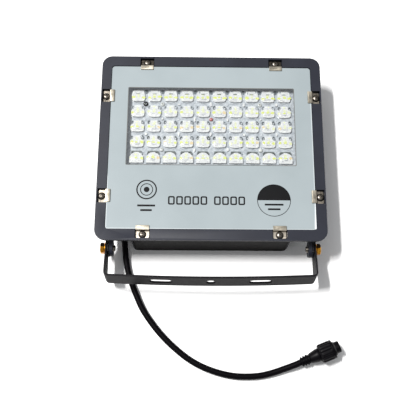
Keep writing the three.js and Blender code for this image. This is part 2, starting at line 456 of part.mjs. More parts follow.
piece('cable', tubeAlong(CABLE_POINTS, CABLE_D, CABLE_SIDES, 44), 'rubber');
{
  const A = CONN_C, s0 = -26.6;                    // profile heights are s + s0
  const d = axis.toArray();
  const P = (list) => list.map(([r, s]) => [r, s + s0]);
  piece('connector_boot', turned(P([[0, 0], [3.4, 0], [3.6, 0.8], [4.6, 0.8], [4.7, 2.2], [3.7, 2.2], [3.8, 3.4], [4.8, 3.4], [4.9, 4.8], [3.9, 4.8], [4.0, 6.0],
    [5.0, 6.0], [5.0, 7.4], [4.2, 7.4], [4.3, 8.9], [0, 8.9]]), 16, A, d), 'rubber');
  const shell = turned(P([[0, 9.2], [4.4, 9.2], [5.0, 10.5], [6.2, 16.5], [6.4, 19.0], [5.6, 19.3], [5.6, 39.8], [4.1, 39.8], [4.1, 31], [0, 31]]), 20, A, d);
  // locating rib on the nose
  const rib = new THREE.BoxGeometry(1.8, 4, 2.2);
  rib.translate(0, 37.7 + s0, 5.4);
  const side = V3(0, 0, 1).cross(axis).normalize(), up = axis.clone().cross(side).normalize();
  const basis = new THREE.Matrix4().makeBasis(axis.clone().cross(up).normalize(), axis, up).setPosition(...A);
  rib.applyMatrix4(basis);
  const pinAt = (k) => V3(...A).addScaledVector(side, 1.9 * k).addScaledVector(axis, s0);
  const pinFrom = (k, a, b, dd, n) => rod(pinAt(k).addScaledVector(axis, a).toArray(), pinAt(k).addScaledVector(axis, b).toArray(), dd, n);
  piece('connector_body', cut(shell.add(toSolid(rib)), [pinFrom(1, 26, 32, 2.2, 10), pinFrom(-1, 26, 32, 2.2, 10)]), 'black');
  for (const k of [1, -1]) piece(`contact_pin_${k > 0 ? 1 : 2}`, pinFrom(k, 26.4, 38.2, 1.5, 10), 'brass');
  piece('connector_o_ring', turned(P([[5.95, 34.1], [6.6, 34.1], [6.6, 35.3], [5.95, 35.3], [5.95, 34.1]]), 16, A, d), 'rubber');
  // coupling nut with grip flutes, free to spin on the connector body
  const n0 = 26.6 - NUT_L / 2, n1 = 26.6 + NUT_L / 2, R = NUT_D / 2;
  let nut = turned(P([[6.7, n0], [R - 1.2, n0], [R, n0 + 1.2], [R, n1], [7.2, n1], [7.2, n0 + 2], [6.7, n0 + 2], [6.7, n0]]), 24, A, d);
  const flutes = [];
  for (let i = 0; i < 12; i++) {
    const a = 2 * Math.PI * i / 12;
    const off = side.clone().multiplyScalar(Math.cos(a) * (R + 0.25)).add(up.clone().multiplyScalar(Math.sin(a) * (R + 0.25)));
    const c = V3(...A).add(off);
    flutes.push(rod(c.clone().addScaledVector(axis, n0 + s0 - 1).toArray(), c.clone().addScaledVector(axis, n1 + s0 - 2.5).toArray(), 1.4, 6));
  }
  nut = cut(nut, flutes);
  piece('coupling_nut', nut, 'black');
}

export default assembly;
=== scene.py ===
"""Looks of the solar flood light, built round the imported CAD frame."""
import math

import bmesh
import bpy
import json
import numpy as np
from mathutils import Matrix, Vector


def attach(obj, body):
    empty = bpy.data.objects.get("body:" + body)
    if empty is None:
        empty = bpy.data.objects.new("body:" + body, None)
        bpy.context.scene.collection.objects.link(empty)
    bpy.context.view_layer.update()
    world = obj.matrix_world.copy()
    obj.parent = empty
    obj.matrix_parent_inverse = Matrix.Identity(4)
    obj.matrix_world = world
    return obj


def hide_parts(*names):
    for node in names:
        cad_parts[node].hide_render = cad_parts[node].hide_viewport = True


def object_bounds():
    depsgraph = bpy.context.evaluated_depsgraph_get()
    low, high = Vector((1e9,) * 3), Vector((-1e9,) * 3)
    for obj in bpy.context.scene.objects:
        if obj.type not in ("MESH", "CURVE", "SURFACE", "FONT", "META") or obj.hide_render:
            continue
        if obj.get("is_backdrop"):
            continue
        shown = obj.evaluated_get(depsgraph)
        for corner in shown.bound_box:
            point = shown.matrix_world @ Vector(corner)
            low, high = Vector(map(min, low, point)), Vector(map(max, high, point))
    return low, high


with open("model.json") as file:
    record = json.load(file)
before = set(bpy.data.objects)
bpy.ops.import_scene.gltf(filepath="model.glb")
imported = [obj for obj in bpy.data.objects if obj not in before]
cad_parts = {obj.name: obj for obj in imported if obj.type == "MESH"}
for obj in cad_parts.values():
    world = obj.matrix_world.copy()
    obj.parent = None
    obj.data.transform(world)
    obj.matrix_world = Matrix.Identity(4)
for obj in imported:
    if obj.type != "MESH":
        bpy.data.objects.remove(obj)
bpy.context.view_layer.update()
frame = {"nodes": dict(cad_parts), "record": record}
NODES = frame["nodes"]
HEAD, BRACKET, NUT = "lamp_head", "bracket", "coupling_nut"
Y_SHIFT = 18.356335      # the row frame's y is the lamp's own y plus this, in mm


def P(x, y, z):
    """A point given in mm about the middle of the rim, as a row-frame vector in metres."""
    return Vector((x * 0.001, (y + Y_SHIFT) * 0.001, z * 0.001))


# ------------------------------------------------------------------ camera
def make_camera():
    th, yaw, roll = 0.29488, -0.0177, 0.00178
    c = Vector((math.sin(yaw) * math.cos(th), -math.sin(th), math.cos(yaw) * math.cos(th)))
    r = Vector((0, 1, 0)).cross(c).normalized()
    u = c.cross(r)
    r2 = math.cos(roll) * r + math.sin(roll) * u
    u2 = -math.sin(roll) * r + math.cos(roll) * u
    data = bpy.data.cameras.new("camera")
    data.sensor_width = 36
    data.lens = 60
    data.clip_start, data.clip_end = 0.02, 20
    cam = bpy.data.objects.new("camera", data)
    bpy.context.scene.collection.objects.link(cam)
    m = Matrix((r2, u2, c)).transposed().to_4x4()
    m.translation = Vector((-0.0124245, -0.2410905, 0.6796422))
    cam.matrix_world = m
    bpy.context.scene.camera = cam


make_camera()


# --------------------------------------------------------------- materials
def link(nt, a, b):
    nt.links.new(a, b)


def base_material(name):
    m = bpy.data.materials.new(name)
    m.use_nodes = True
    nt = m.node_tree
    return m, nt, nt.nodes["Principled BSDF"]


def coords(nt, scale=(1, 1, 1), kind="Object"):
    tc = nt.nodes.new("ShaderNodeTexCoord")
    mp = nt.nodes.new("ShaderNodeMapping")
    mp.inputs["Scale"].default_value = scale
    link(nt, tc.outputs[kind], mp.inputs["Vector"])
    return mp.outputs["Vector"]


def noise(nt, vec, scale, detail=3.0, rough=0.55):
    n = nt.nodes.new("ShaderNodeTexNoise")
    n.inputs["Scale"].default_value = scale
    n.inputs["Detail"].default_value = detail
    n.inputs["Roughness"].default_value = rough
    link(nt, vec, n.inputs["Vector"])
    return n.outputs["Fac"]


def ramp(nt, fac, stops, interp="LINEAR"):
    r = nt.nodes.new("ShaderNodeValToRGB")
    r.color_ramp.interpolation = interp
    e = r.color_ramp.elements
    while len(e) < len(stops):
        e.new(0.5)
    for k, (pos, col) in enumerate(stops):
        e[k].position = pos
        e[k].color = (*col, 1) if len(col) == 3 else col
    link(nt, fac, r.inputs["Fac"])
    return r.outputs["Color"]


def value_range(nt, fac, a, b, lo, hi):
    r = nt.nodes.new("ShaderNodeMapRange")
    r.inputs["From Min"].default_value = a
    r.inputs["From Max"].default_value = b
    r.inputs["To Min"].default_value = lo
    r.inputs["To Max"].default_value = hi
    link(nt, fac, r.inputs["Value"])
    return r.outputs["Result"]


def math_node(nt, op, a, b=None):
    n = nt.nodes.new("ShaderNodeMath")
    n.operation = op
    for k, v in enumerate((a, b)):
        if v is None:
            continue
        if isinstance(v, (int, float)):
            n.inputs[k].default_value = v
        else:
            link(nt, v, n.inputs[k])
    return n.outputs[0]


def bump(nt, bsdf, height, strength, distance):
    b = nt.nodes.new("ShaderNodeBump")
    b.inputs["Strength"].default_value = strength
    b.inputs["Distance"].default_value = distance
    link(nt, height, b.inputs["Height"])
    link(nt, b.outputs["Normal"], bsdf.inputs["Normal"])
    return b


K = 0.62                 # the key light is strong enough to burn the floor out, so body colours sit lower


def toned(colour, k=K):
    return tuple(v * k for v in colour[:3])


def surface(name, dark, light, rough=(0.4, 0.5), metal=0.0, spec=0.5, coat=0.0, coat_rough=0.1,
            tone=40.0, grain=1400.0, grain_detail=2.0, depth=0.00003, strength=0.5, stretch=(1, 1, 1),
            sheen=0.0, aniso=0.0):
    """Principled material whose colour drifts between two tones, with its own grain in roughness and bump."""
    m, nt, b = base_material(name)
    vec = coords(nt)
    fine = coords(nt, stretch)
    drift = noise(nt, vec, tone, 4.0, 0.6)
    grains = noise(nt, fine, grain, grain_detail, 0.6)
    mix = math_node(nt, "ADD", math_node(nt, "MULTIPLY", drift, 0.7), math_node(nt, "MULTIPLY", grains, 0.3))
    if metal == 0:
        dark, light = toned(dark), toned(light)
    link(nt, ramp(nt, mix, [(0.36, dark), (0.64, light)]), b.inputs["Base Color"])
    link(nt, value_range(nt, grains, 0.3, 0.7, rough[0], rough[1]), b.inputs["Roughness"])
    b.inputs["Metallic"].default_value = metal
    b.inputs["Specular IOR Level"].default_value = spec
    b.inputs["Coat Weight"].default_value = coat
    b.inputs["Coat Roughness"].default_value = coat_rough
    b.inputs["Sheen Weight"].default_value = sheen
    b.inputs["Anisotropic"].default_value = aniso
    bump(nt, b, grains, strength, depth)
    return m


def lin(r, g, b):
    """sRGB 0-255 to linear."""
    out = []
    for v in (r, g, b):
        v /= 255
        out.append(v / 12.92 if v <= 0.04045 else ((v + 0.055) / 1.055) ** 2.4)
    return tuple(out)


PAINT = surface("powder_coat_grey", lin(39, 41, 52), lin(47, 50, 62), rough=(0.42, 0.56), spec=0.22, tone=28, grain=1500, depth=0.00006, strength=0.55)
# much darker copy of the coat for the rear box's lower front walls: painted shade
BOX_PAINTED_SHADE = surface("box_wall_painted_shade", lin(12, 10, 9), lin(17, 14, 13), rough=(0.55, 0.7), spec=0.06, tone=26, grain=1500, depth=0.00005, strength=0.5)
BRACKET_PAINT = surface("bracket_coat", lin(25, 24, 27), lin(33, 31, 35), rough=(0.50, 0.66), spec=0.10, tone=30, grain=1300, depth=0.00007, strength=0.6)
STEEL = surface("spring_steel_nickel", lin(182, 172, 158), lin(214, 205, 190), rough=(0.26, 0.42), metal=1.0, tone=160, grain=1600,
                stretch=(0.12, 1, 1), depth=0.000015, strength=0.4, aniso=0.3)
SCREW = surface("screw_nickel", lin(84, 80, 75), lin(136, 129, 120), rough=(0.28, 0.42), metal=1.0, tone=260, grain=2600, depth=0.00001, strength=0.3)
PALE_SCREW = surface("board_screw_white", lin(206, 208, 208), lin(232, 233, 232), rough=(0.3, 0.4), metal=0.0, tone=260, grain=2600, depth=0.00001, strength=0.2)
ZINC = surface("yellow_zinc", lin(176, 112, 20), lin(232, 172, 60), rough=(0.22, 0.36), metal=1.0, tone=190, grain=2200, depth=0.00001, strength=0.35)
# darker copies of the clip steel for the feet of the top and side clips: painted shade
STEEL_TOP_PAINTED_SHADE = surface("spring_steel_top_painted_shade", lin(44, 41, 37), lin(92, 86, 78), rough=(0.30, 0.44), metal=1.0, tone=160, grain=1600,
                    stretch=(0.12, 1, 1), depth=0.000015, strength=0.4, aniso=0.3)
STEEL_SIDE_PAINTED_SHADE = surface("spring_steel_side_painted_shade", lin(104, 98, 89), lin(158, 150, 138), rough=(0.28, 0.42), metal=1.0, tone=160, grain=1600,
                     stretch=(0.12, 1, 1), depth=0.000015, strength=0.4, aniso=0.3)
# darker copy of the clip steel for every lip: painted shade
STEEL_LIP_PAINTED_SHADE = surface("spring_steel_lip_painted_shade", lin(132, 126, 114), lin(180, 173, 158), rough=(0.30, 0.44), metal=1.0, tone=200, grain=1600,
                    stretch=(0.12, 1, 1), depth=0.000015, strength=0.4, aniso=0.3)
# darker copy of the zinc for the bolt facets facing the rim: painted shade
ZINC_PAINTED_SHADE = surface("yellow_zinc_shaded", lin(44, 33, 20), lin(78, 58, 30), rough=(0.24, 0.36), metal=1.0, tone=190, grain=2200, depth=0.00001, strength=0.35)
DISC = surface("disc_plastic_black", lin(17, 18, 25), lin(26, 28, 37), rough=(0.38, 0.5), spec=0.3, tone=120, grain=1800, depth=0.00003, strength=0.4)
PLASTIC = surface("nylon_black", lin(6, 5, 9), lin(11, 9, 14), rough=(0.34, 0.46), spec=0.09, tone=120, grain=2400, depth=0.00003, strength=0.5)
RUBBER = surface("pvc_cable_black", lin(5, 3, 7), lin(9, 7, 12), rough=(0.46, 0.58), spec=0.05, tone=90, grain=1900, depth=0.00004, strength=0.5)
SEAL = surface("seal_rubber", lin(20, 20, 21), lin(32, 32, 33), rough=(0.6, 0.75), tone=150, grain=1700, depth=0.00003, strength=0.5)
SILICONE = surface("silicone_grey", lin(120, 124, 126), lin(140, 144, 146), rough=(0.55, 0.7), tone=60, grain=900, depth=0.00003, strength=0.4)
BOARD = surface("white_solder_mask", lin(196, 202, 208), lin(214, 219, 224), rough=(0.35, 0.5), tone=60, grain=900, depth=0.00001, strength=0.3)
GREEN = surface("green_solder_mask", lin(20, 84, 46), lin(30, 108, 60), rough=(0.3, 0.42), tone=120, grain=1200, depth=0.00001, strength=0.3)
WRAP = surface("cell_wrap_blue", lin(32, 82, 150), lin(44, 100, 176), rough=(0.25, 0.35), tone=30, grain=700, depth=0.00002, strength=0.2)
BRASS = surface("brass_contact", lin(196, 158, 74), lin(222, 188, 108), rough=(0.2, 0.32), metal=1.0, tone=260, grain=2200, depth=0.00001, strength=0.2)
WIRE = surface("wire_red", lin(138, 22, 20), lin(166, 34, 30), rough=(0.4, 0.5), tone=90, grain=1300, depth=0.00002, strength=0.3)


def glass_material(name, tint, rough, scale=1.0, ior=1.5):
    """Clear sheet: what is under it shows through, and its faces mirror by Fresnel on their outer side."""
    m = bpy.data.materials.new(name)
    m.use_nodes = True
    nt = m.node_tree
    nt.nodes.clear()
    out = nt.nodes.new("ShaderNodeOutputMaterial")
    mix = nt.nodes.new("ShaderNodeMixShader")
    clear = nt.nodes.new("ShaderNodeBsdfTransparent")
    clear.inputs["Color"].default_value = (*tint, 1)
    gloss = nt.nodes.new("ShaderNodeBsdfGlossy")
    gloss.inputs["Color"].default_value = (1, 1, 1, 1)
    gloss.inputs["Roughness"].default_value = rough
    fres = nt.nodes.new("ShaderNodeFresnel")
    fres.inputs["IOR"].default_value = ior
    geo = nt.nodes.new("ShaderNodeNewGeometry")
    front = math_node(nt, "SUBTRACT", 1.0, geo.outputs["Backfacing"])
    fac = math_node(nt, "MULTIPLY", math_node(nt, "MULTIPLY", fres.outputs[0], scale), front)
    link(nt, fac, mix.inputs["Fac"])
    link(nt, clear.outputs[0], mix.inputs[1])
    link(nt, gloss.outputs[0], mix.inputs[2])
    link(nt, mix.outputs[0], out.inputs["Surface"])
    return m


GLASS = glass_material("front_glass_clear", (0.985, 0.995, 0.99), 0.12, scale=0.6)
LENS_CLEAR = glass_material("lens_clear", (1.0, 1.0, 1.0), 0.08, ior=1.49)


def plain(name, dark, light, rough, coat=0.0, tone=60.0, emit=0.0, spec=0.5, k=K):
    m, nt, b = base_material(name)
    vec = coords(nt)
    dark, light = toned(dark, k), toned(light, k)
    link(nt, ramp(nt, noise(nt, vec, tone, 3.0), [(0.35, dark), (0.65, light)]), b.inputs["Base Color"])
    b.inputs["Roughness"].default_value = rough
    b.inputs["Coat Weight"].default_value = coat
    b.inputs["Coat Roughness"].default_value = 0.08
    b.inputs["Specular IOR Level"].default_value = spec
    if emit:
        b.inputs["Emission Color"].default_value = (*light, 1)
        b.inputs["Emission Strength"].default_value = emit
    return m


PRINT = plain("print_grey_green", lin(173, 184, 188), lin(180, 191, 195), 0.42, tone=16, spec=0.18, k=0.636)
PRINT_LINE = plain("print_edge_dark", lin(98, 104, 104), lin(122, 120, 116), 0.6, tone=40)
INK = plain("print_ink", lin(12, 13, 15), lin(18, 19, 22), 0.5, spec=0.12)
LENS_WHITE = plain("lens_white", (0.80, 0.79, 0.84), (1.0, 1.0, 0.99), 0.25, coat=0.3, tone=520)
# the plate, flange, shade and soft-mark materials glow a little: painted light that lifts the shade in the lens field
LENS_PLATE = plain("lens_plate_grey", lin(162, 167, 176), lin(210, 214, 221), 0.3, coat=0.3, tone=330, emit=0.20)
LENS_FLANGE = plain("lens_flange", lin(184, 188, 197), lin(224, 226, 232), 0.28, coat=0.3, tone=420, emit=0.14)
PEACH = plain("phosphor_warm", lin(240, 214, 168), lin(246, 228, 186), 0.4, tone=700)
LILAC = plain("lens_hairline", lin(176, 172, 186), lin(206, 202, 214), 0.35, tone=700)
LENS_SHADE = plain("lens_shade", lin(100, 106, 112), lin(138, 144, 150), 0.35, tone=500, emit=0.10)
PHOSPHOR = plain("phosphor_yellow", lin(230, 238, 120), lin(242, 246, 152), 0.4, tone=700)
PHOSPHOR_PALE = plain("phosphor_pale", lin(238, 241, 186), lin(248, 249, 216), 0.4, tone=700)
LENS_MARK = plain("lens_foot_dark", lin(84, 90, 92), lin(124, 130, 130), 0.4, tone=700)
LENS_MARK_SOFT = plain("lens_foot_soft", lin(146, 152, 160), lin(180, 185, 192), 0.4, tone=700, emit=0.10)
RED = plain("indicator_red", lin(190, 104, 106), lin(206, 132, 132), 0.45, coat=0.1, tone=400)
CLEAR_DOT = plain("receiver_window", lin(128, 132, 138), lin(156, 160, 166), 0.25, coat=0.3, tone=400)
# pale strips at the glass's edge: painted highlight
EDGE_PAINTED_HIGHLIGHT_PALE = plain("glass_edge_painted_highlight_pale", lin(228, 234, 238), lin(240, 244, 247), 0.4, k=0.78)
EDGE_PAINTED_HIGHLIGHT_SOFT = plain("glass_edge_painted_highlight_soft", lin(200, 208, 212), lin(212, 220, 224), 0.4, k=0.70)


# ---------------------------------------------------------------- mesh tools
def add_object(name, bm, mats, body, smooth=32.0, slot=None):
    bmesh.ops.recalc_face_normals(bm, faces=bm.faces)
    me = bpy.data.meshes.new(name)
    bm.to_mesh(me)
    bm.free()
    return add_mesh(name, me, mats, body, smooth, slot)


def add_mesh(name, me, mats, body, smooth=32.0, slot=None):
    for m in (mats if isinstance(mats, (list, tuple)) else [mats]):
        me.materials.append(m)
    me.shade_smooth()
    me.set_sharp_from_angle(angle=math.radians(smooth))
    o = bpy.data.objects.new(name, me)
    bpy.context.scene.collection.objects.link(o)
    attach(o, body)
    return o


def bevel(o, width, segments=2, angle=30.0, harden=True):
    b = o.modifiers.new("bevel", "BEVEL")
    b.width = width * 0.001
    b.segments = segments
    b.limit_method = "ANGLE"
    b.angle_limit = math.radians(angle)
    b.use_clamp_overlap = True
    b.harden_normals = harden
    b.miter_outer = "MITER_ARC"
    return b


def from_node(node, name, mat, width, segments=2, angle=32.0, slot=None, smooth=40.0):
    """A cleaned and edge-rounded copy of a CAD node that stands for it."""
    me = NODES[node].data.copy()
    me.materials.clear()
    bm = bmesh.new()
    bm.from_mesh(me)
    bmesh.ops.remove_doubles(bm, verts=bm.verts, dist=2e-6)
    bmesh.ops.dissolve_limit(bm, angle_limit=math.radians(0.6), verts=bm.verts, edges=bm.edges)
    for f in bm.faces:
        f.material_index = 0
    bm.to_mesh(me)
    bm.free()
    o = add_mesh(name, me, mat, frame_body(node), smooth, slot)
    if width:
        bevel(o, width, segments, angle)
    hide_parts(node)
    return o


def frame_body(node):
    for body, members in frame["record"]["behaviour"]["bodies"].items():
        if node in members:
            return body
    raise KeyError(node)


def rounded(w, h, r, seg=6, cx=0.0, cy=0.0):
    pts = []
    for qx, qy, a0 in ((1, 1, 0), (-1, 1, 90), (-1, -1, 180), (1, -1, 270)):
        for i in range(seg + 1):
            a = math.radians(a0 + 90 * i / seg)
            pts.append((cx + qx * (w / 2 - r) + r * math.cos(a), cy + qy * (h / 2 - r) + r * math.sin(a)))
    return pts


def prism(bm, pts, z0, z1, mat=0, at=P):
    """Closed slab of an outline in lamp mm."""
    lo = [bm.verts.new(at(x, y, z0)) for x, y in pts]
    hi = [bm.verts.new(at(x, y, z1)) for x, y in pts]
    faces = [bm.faces.new(lo[::-1]), bm.faces.new(hi)]
    n = len(pts)
    faces += [bm.faces.new((lo[i], lo[(i + 1) % n], hi[(i + 1) % n], hi[i])) for i in range(n)]
    for f in faces:
        f.material_index = mat
    return faces


def ring_slab(bm, outer, inner, z0, z1, mat=0, at=P):
    """Closed frame between two outlines of as many points."""
    n = len(outer)
    o0, o1 = [[bm.verts.new(at(x, y, z)) for x, y in outer] for z in (z0, z1)]
    i0, i1 = [[bm.verts.new(at(x, y, z)) for x, y in inner] for z in (z0, z1)]
    for k in range(n):
        j = (k + 1) % n
        for quad in ((o0[k], o0[j], o1[j], o1[k]), (i0[j], i0[k], i1[k], i1[j]), (o1[k], o1[j], i1[j], i1[k]), (o0[j], o0[k], i0[k], i0[j])):
            bm.faces.new(quad).material_index = mat


def lathe(bm, profile, n, origin, axis, mat=0, closed=False, twist=0.0, shape=None):
    """Revolves (radius, height) in mm about axis from origin (row frame). shape(angle, k) scales the radius of profile point k."""
    axis = Vector(axis).normalized()
    ref = Vector((0, 0, 1)) if abs(axis.z) < 0.9 else Vector((1, 0, 0))
    e1 = ref.cross(axis).normalized()
    e2 = axis.cross(e1)
    rings = []
    for k, (r, h) in enumerate(profile):
        if r < 1e-9:
            rings.append([bm.verts.new(origin + axis * h * 0.001)])
            continue
        ring = []
        for i in range(n):
            a = 2 * math.pi * i / n + twist
            rr = r * (shape(a, k) if shape else 1.0)
            ring.append(bm.verts.new(origin + axis * h * 0.001 + (e1 * math.cos(a) + e2 * math.sin(a)) * rr * 0.001))
        rings.append(ring)
    pairs = list(zip(rings, rings[1:]))
    if closed:
        pairs.append((rings[-1], rings[0]))
    for a, b in pairs:
        for i in range(n):
            j = (i + 1) % n
            if len(a) == 1 and len(b) == 1:
                continue
            if len(a) == 1:
                f = bm.faces.new((a[0], b[j], b[i]))
            elif len(b) == 1:
                f = bm.faces.new((a[i], a[j], b[0]))
            else:
                f = bm.faces.new((a[i], a[j], b[j], b[i]))
            f.material_index = mat


def applied(o):
    """The object's mesh with its modifiers applied, as a fresh mesh; the object goes."""
    bpy.context.view_layer.update()
    dg = bpy.context.evaluated_depsgraph_get()
    me = bpy.data.meshes.new_from_object(o.evaluated_get(dg))
    bpy.data.objects.remove(o)
    return me


def boolean_mesh(bm_a, bm_b, op="DIFFERENCE"):
    """Mesh of a minus (or and) b, both bmeshes, freed here."""
    objs = []
    for bm in (bm_a, bm_b):
        bmesh.ops.recalc_face_normals(bm, faces=bm.faces)
        me = bpy.data.meshes.new("tmp")
        bm.to_mesh(me)
        bm.free()
        o = bpy.data.objects.new("tmp", me)
        bpy.context.scene.collection.objects.link(o)
        objs.append(o)
    m = objs[0].modifiers.new("b", "BOOLEAN")
    m.operation = op
    m.solver = "EXACT"
    m.object = objs[1]
    me = applied(objs[0])
    bpy.data.objects.remove(objs[1])
    return me


# -------------------------------------------------------------------- lead
CONN_ANGLE, CONN_TILT = math.radians(22), math.radians(6)
AXIS = Vector((math.cos(CONN_ANGLE) * math.cos(CONN_TILT), math.sin(CONN_ANGLE) * math.cos(CONN_TILT), math.sin(CONN_TILT)))
CONN_C = Vector((109.9, -195.1, 10.05))


def on_axis(s):
    v = CONN_C + AXIS * (s - 26.6)
    return (v.x, v.y, v.z)


CABLE_POINTS = [
    (-85, -78.9, 14), (-84.9, -83, 13.3), (-84.6, -88, 10.7), (-84.2, -94, 7.2), (-83.7, -100, 4.7), (-83.1, -106.1, 3.5), (-81.9, -112, 3.15),
    (-80.6, -117.5, 3.1), (-78.6, -124, 3.1), (-76.0, -131, 3.1), (-71.3, -142.5, 3.1), (-65.2, -155, 3.1), (-55.3, -169.2, 3.1),
    (-45.5, -180.6, 3.1), (-34.8, -190.8, 3.1), (-20.6, -201.8, 3.1), (-7, -209.2, 3.1), (9.2, -214.8, 3.1), (22, -217.3, 3.1),
    (34.8, -217.9, 3.1), (48, -216.9, 3.2), (60.5, -213.9, 3.8), (70, -210.7, 4.9), on_axis(-7), on_axis(-0.3),
]


def catmull(points, per=8):
    """Centripetal Catmull-Rom through the points."""
    pts = [Vector(p) for p in points]
    pts = [pts[0] * 2 - pts[1]] + pts + [pts[-1] * 2 - pts[-2]]
    out = []
    for i in range(1, len(pts) - 2):
        p0, p1, p2, p3 = pts[i - 1:i + 3]
        t0 = 0.0
        t1 = t0 + (p1 - p0).length ** 0.5
        t2 = t1 + (p2 - p1).length ** 0.5
        t3 = t2 + (p3 - p2).length ** 0.5
        for k in range(per):
            t = t1 + (t2 - t1) * k / per
            a1 = p0 * ((t1 - t) / (t1 - t0)) + p1 * ((t - t0) / (t1 - t0))
            a2 = p1 * ((t2 - t) / (t2 - t1)) + p2 * ((t - t1) / (t2 - t1))
            a3 = p2 * ((t3 - t) / (t3 - t2)) + p3 * ((t - t2) / (t3 - t2))
            b1 = a1 * ((t2 - t) / (t2 - t0)) + a2 * ((t - t0) / (t2 - t0))
            b2 = a2 * ((t3 - t) / (t3 - t1)) + a3 * ((t - t1) / (t3 - t1))
            out.append(b1 * ((t2 - t) / (t2 - t1)) + b2 * ((t - t1) / (t2 - t1)))
    out.append(Vector(points[-1]))
    return out


def make_lead():
    cu = bpy.data.curves.new("lead", "CURVE")
    cu.dimensions = "3D"
    cu.bevel_depth = 0.003
    cu.bevel_resolution = 6
    cu.use_fill_caps = True
    pts = catmull([(-85, -76.5, 14)] + CABLE_POINTS)
    sp = cu.splines.new("POLY")
    sp.points.add(len(pts) - 1)
    for k, p in enumerate(pts):
        sp.points[k].co = (*P(*p), 1)
    sp.use_smooth = True
    cu.materials.append(RUBBER)
    o = bpy.data.objects.new("lead", cu)
    bpy.context.scene.collection.objects.link(o)
    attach(o, HEAD)
    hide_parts("cable")
    return o, sum((b - a).length for a, b in zip(pts, pts[1:])) * 0.001


lead, lead_len = make_lead()
print("lead length", round(lead_len, 4))


# --------------------------------------------------------------- connector
def conn_at(s):
    return P(*on_axis(s))


def make_connector():
    # ribbed boot: rounded rings on a slim cone
    bm = bmesh.new()
    prof = [(3.05, -0.05), (3.3, 0.0), (3.45, 0.25)]
    for k, s in enumerate((0.8, 3.4, 6.0)):
        r = 4.62 + 0.19 * k
        base = 3.6 + 0.22 * k
        prof += [(base, s - 0.1), (r - 0.25, s), (r - 0.06, s + 0.18), (r, s + 0.45), (r, s + 0.95), (r - 0.06, s + 1.22), (r - 0.25, s + 1.4), (base + 0.1, s + 1.5)]
    prof += [(4.2, 8.0), (4.3, 8.9), (3.0, 8.9)]
    lathe(bm, prof, 48, conn_at(0), AXIS, closed=True)
    boot = add_object("connector_boot_ribbed", bm, RUBBER, HEAD, 40, "black_rubber")
    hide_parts("connector_boot")

    # body: short cone, shoulder, keyed nose with an open socket
    bm = bmesh.new()
    prof = [(0, 9.2), (4.1, 9.2), (4.35, 9.3), (4.5, 9.6), (5.0, 10.6), (6.15, 16.2), (6.3, 17.0), (6.38, 18.8), (6.2, 19.15), (5.6, 19.3), (5.6, 34.0),
            (5.6, 35.4), (5.6, 39.3), (5.45, 39.65), (5.1, 39.8), (4.5, 39.8), (4.2, 39.65), (4.1, 39.3), (4.1, 31.2), (3.9, 31.0), (0, 31.0)]
    lathe(bm, prof, 64, conn_at(0), AXIS)
    side = Vector((0, 0, 1)).cross(AXIS).normalized()
    up = AXIS.cross(side).normalized()
    # locating rib and two shallow keys round the nose
    for ang, w, l, s_mid, r0, r1 in ((0, 1.8, 4, 37.7, 5.2, 6.5), (118, 1.1, 5.0, 36.9, 5.2, 5.95), (-118, 1.1, 5.0, 36.9, 5.2, 5.95)):
        a = math.radians(ang)
        rad = up * math.cos(a) + side * math.sin(a)
        tan = AXIS.cross(rad).normalized()
        c = conn_at(s_mid)
        vs = []
        for dr in (r0, r1):
            for ds in (-l / 2, l / 2):
                for dt in (-w / 2, w / 2):
                    vs.append(bm.verts.new(c + (rad * dr + AXIS * ds + tan * dt) * 0.001))
        for q in ((0, 1, 3, 2), (4, 6, 7, 5), (0, 4, 5, 1), (2, 3, 7, 6), (0, 2, 6, 4), (1, 5, 7, 3)):
            bm.faces.new([vs[i] for i in q])
    body = add_object("connector_shell", bm, PLASTIC, HEAD, 35, "black_plastic")
    bevel(body, 0.12, 2, 40)
    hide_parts("connector_body")

    # coupling nut: 12 wide grip lands between round flutes, chamfered back, plain front band
    n = 144
    R = 9.2
    n0, n1 = 19.5, 33.7

    def flute(a, k):
        if k not in FLUTED:
            return 1.0
        ph = (a * 12 / (2 * math.pi)) % 1.0
        d = min(ph, 1 - ph) / 0.26
        return 1.0 - (0.082 * (1 - d * d) ** 0.5 if d < 1 else 0.0)

    prof = [(6.7, n0), (7.4, n0), (7.9, n0 + 0.15), (8.7, n0 + 0.75), (9.1, n0 + 1.3), (R, n0 + 1.9), (R, n0 + 4.5), (R, n0 + 9.2), (R, n1 - 3.3), (R, n1 - 2.9),
            (8.75, n1 - 2.5), (8.7, n1 - 2.2), (9.0, n1 - 1.95), (9.05, n1 - 0.6), (8.8, n1 - 0.12), (8.4, n1), (7.6, n1), (7.3, n1 - 0.2), (7.2, n1 - 0.6), (7.2, n0 + 2), (6.7, n0 + 2)]
    FLUTED.clear()
    FLUTED.update({3, 4, 5, 6, 7, 8, 9})
    bm = bmesh.new()
    lathe(bm, prof, n, conn_at(0), AXIS, closed=True, shape=flute)
    nut = add_object("coupling_nut_grip", bm, PLASTIC, NUT, 38, "black_plastic")
    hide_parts("coupling_nut")

    bm = bmesh.new()
    prof = []
    for i in range(16):
        a = 2 * math.pi * i / 16
        prof.append((6.27 + 0.33 * math.cos(a), 34.7 + 0.55 * math.sin(a)))
    lathe(bm, prof, 48, conn_at(0), AXIS, closed=True)
    ring = add_object("connector_seal_ring", bm, SEAL, HEAD, 60, "black_rubber")
    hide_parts("connector_o_ring")

    pins = []
    for k, tag in ((1, 1), (-1, 2)):
        bm = bmesh.new()
        o = conn_at(0) + side * 0.0019 * k
        lathe(bm, [(0, 26.4), (0.75, 26.4), (0.75, 37.3), (0.66, 37.8), (0.42, 38.12), (0, 38.2)], 20, o, AXIS)
        p = add_object(f"contact_pin_round_{tag}", bm, BRASS, HEAD, 40, "brass_pin")
        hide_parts(f"contact_pin_{tag}")
        pins.append(p)
    return [boot, body, nut, ring, *pins]


FLUTED = set()
connector = make_connector()


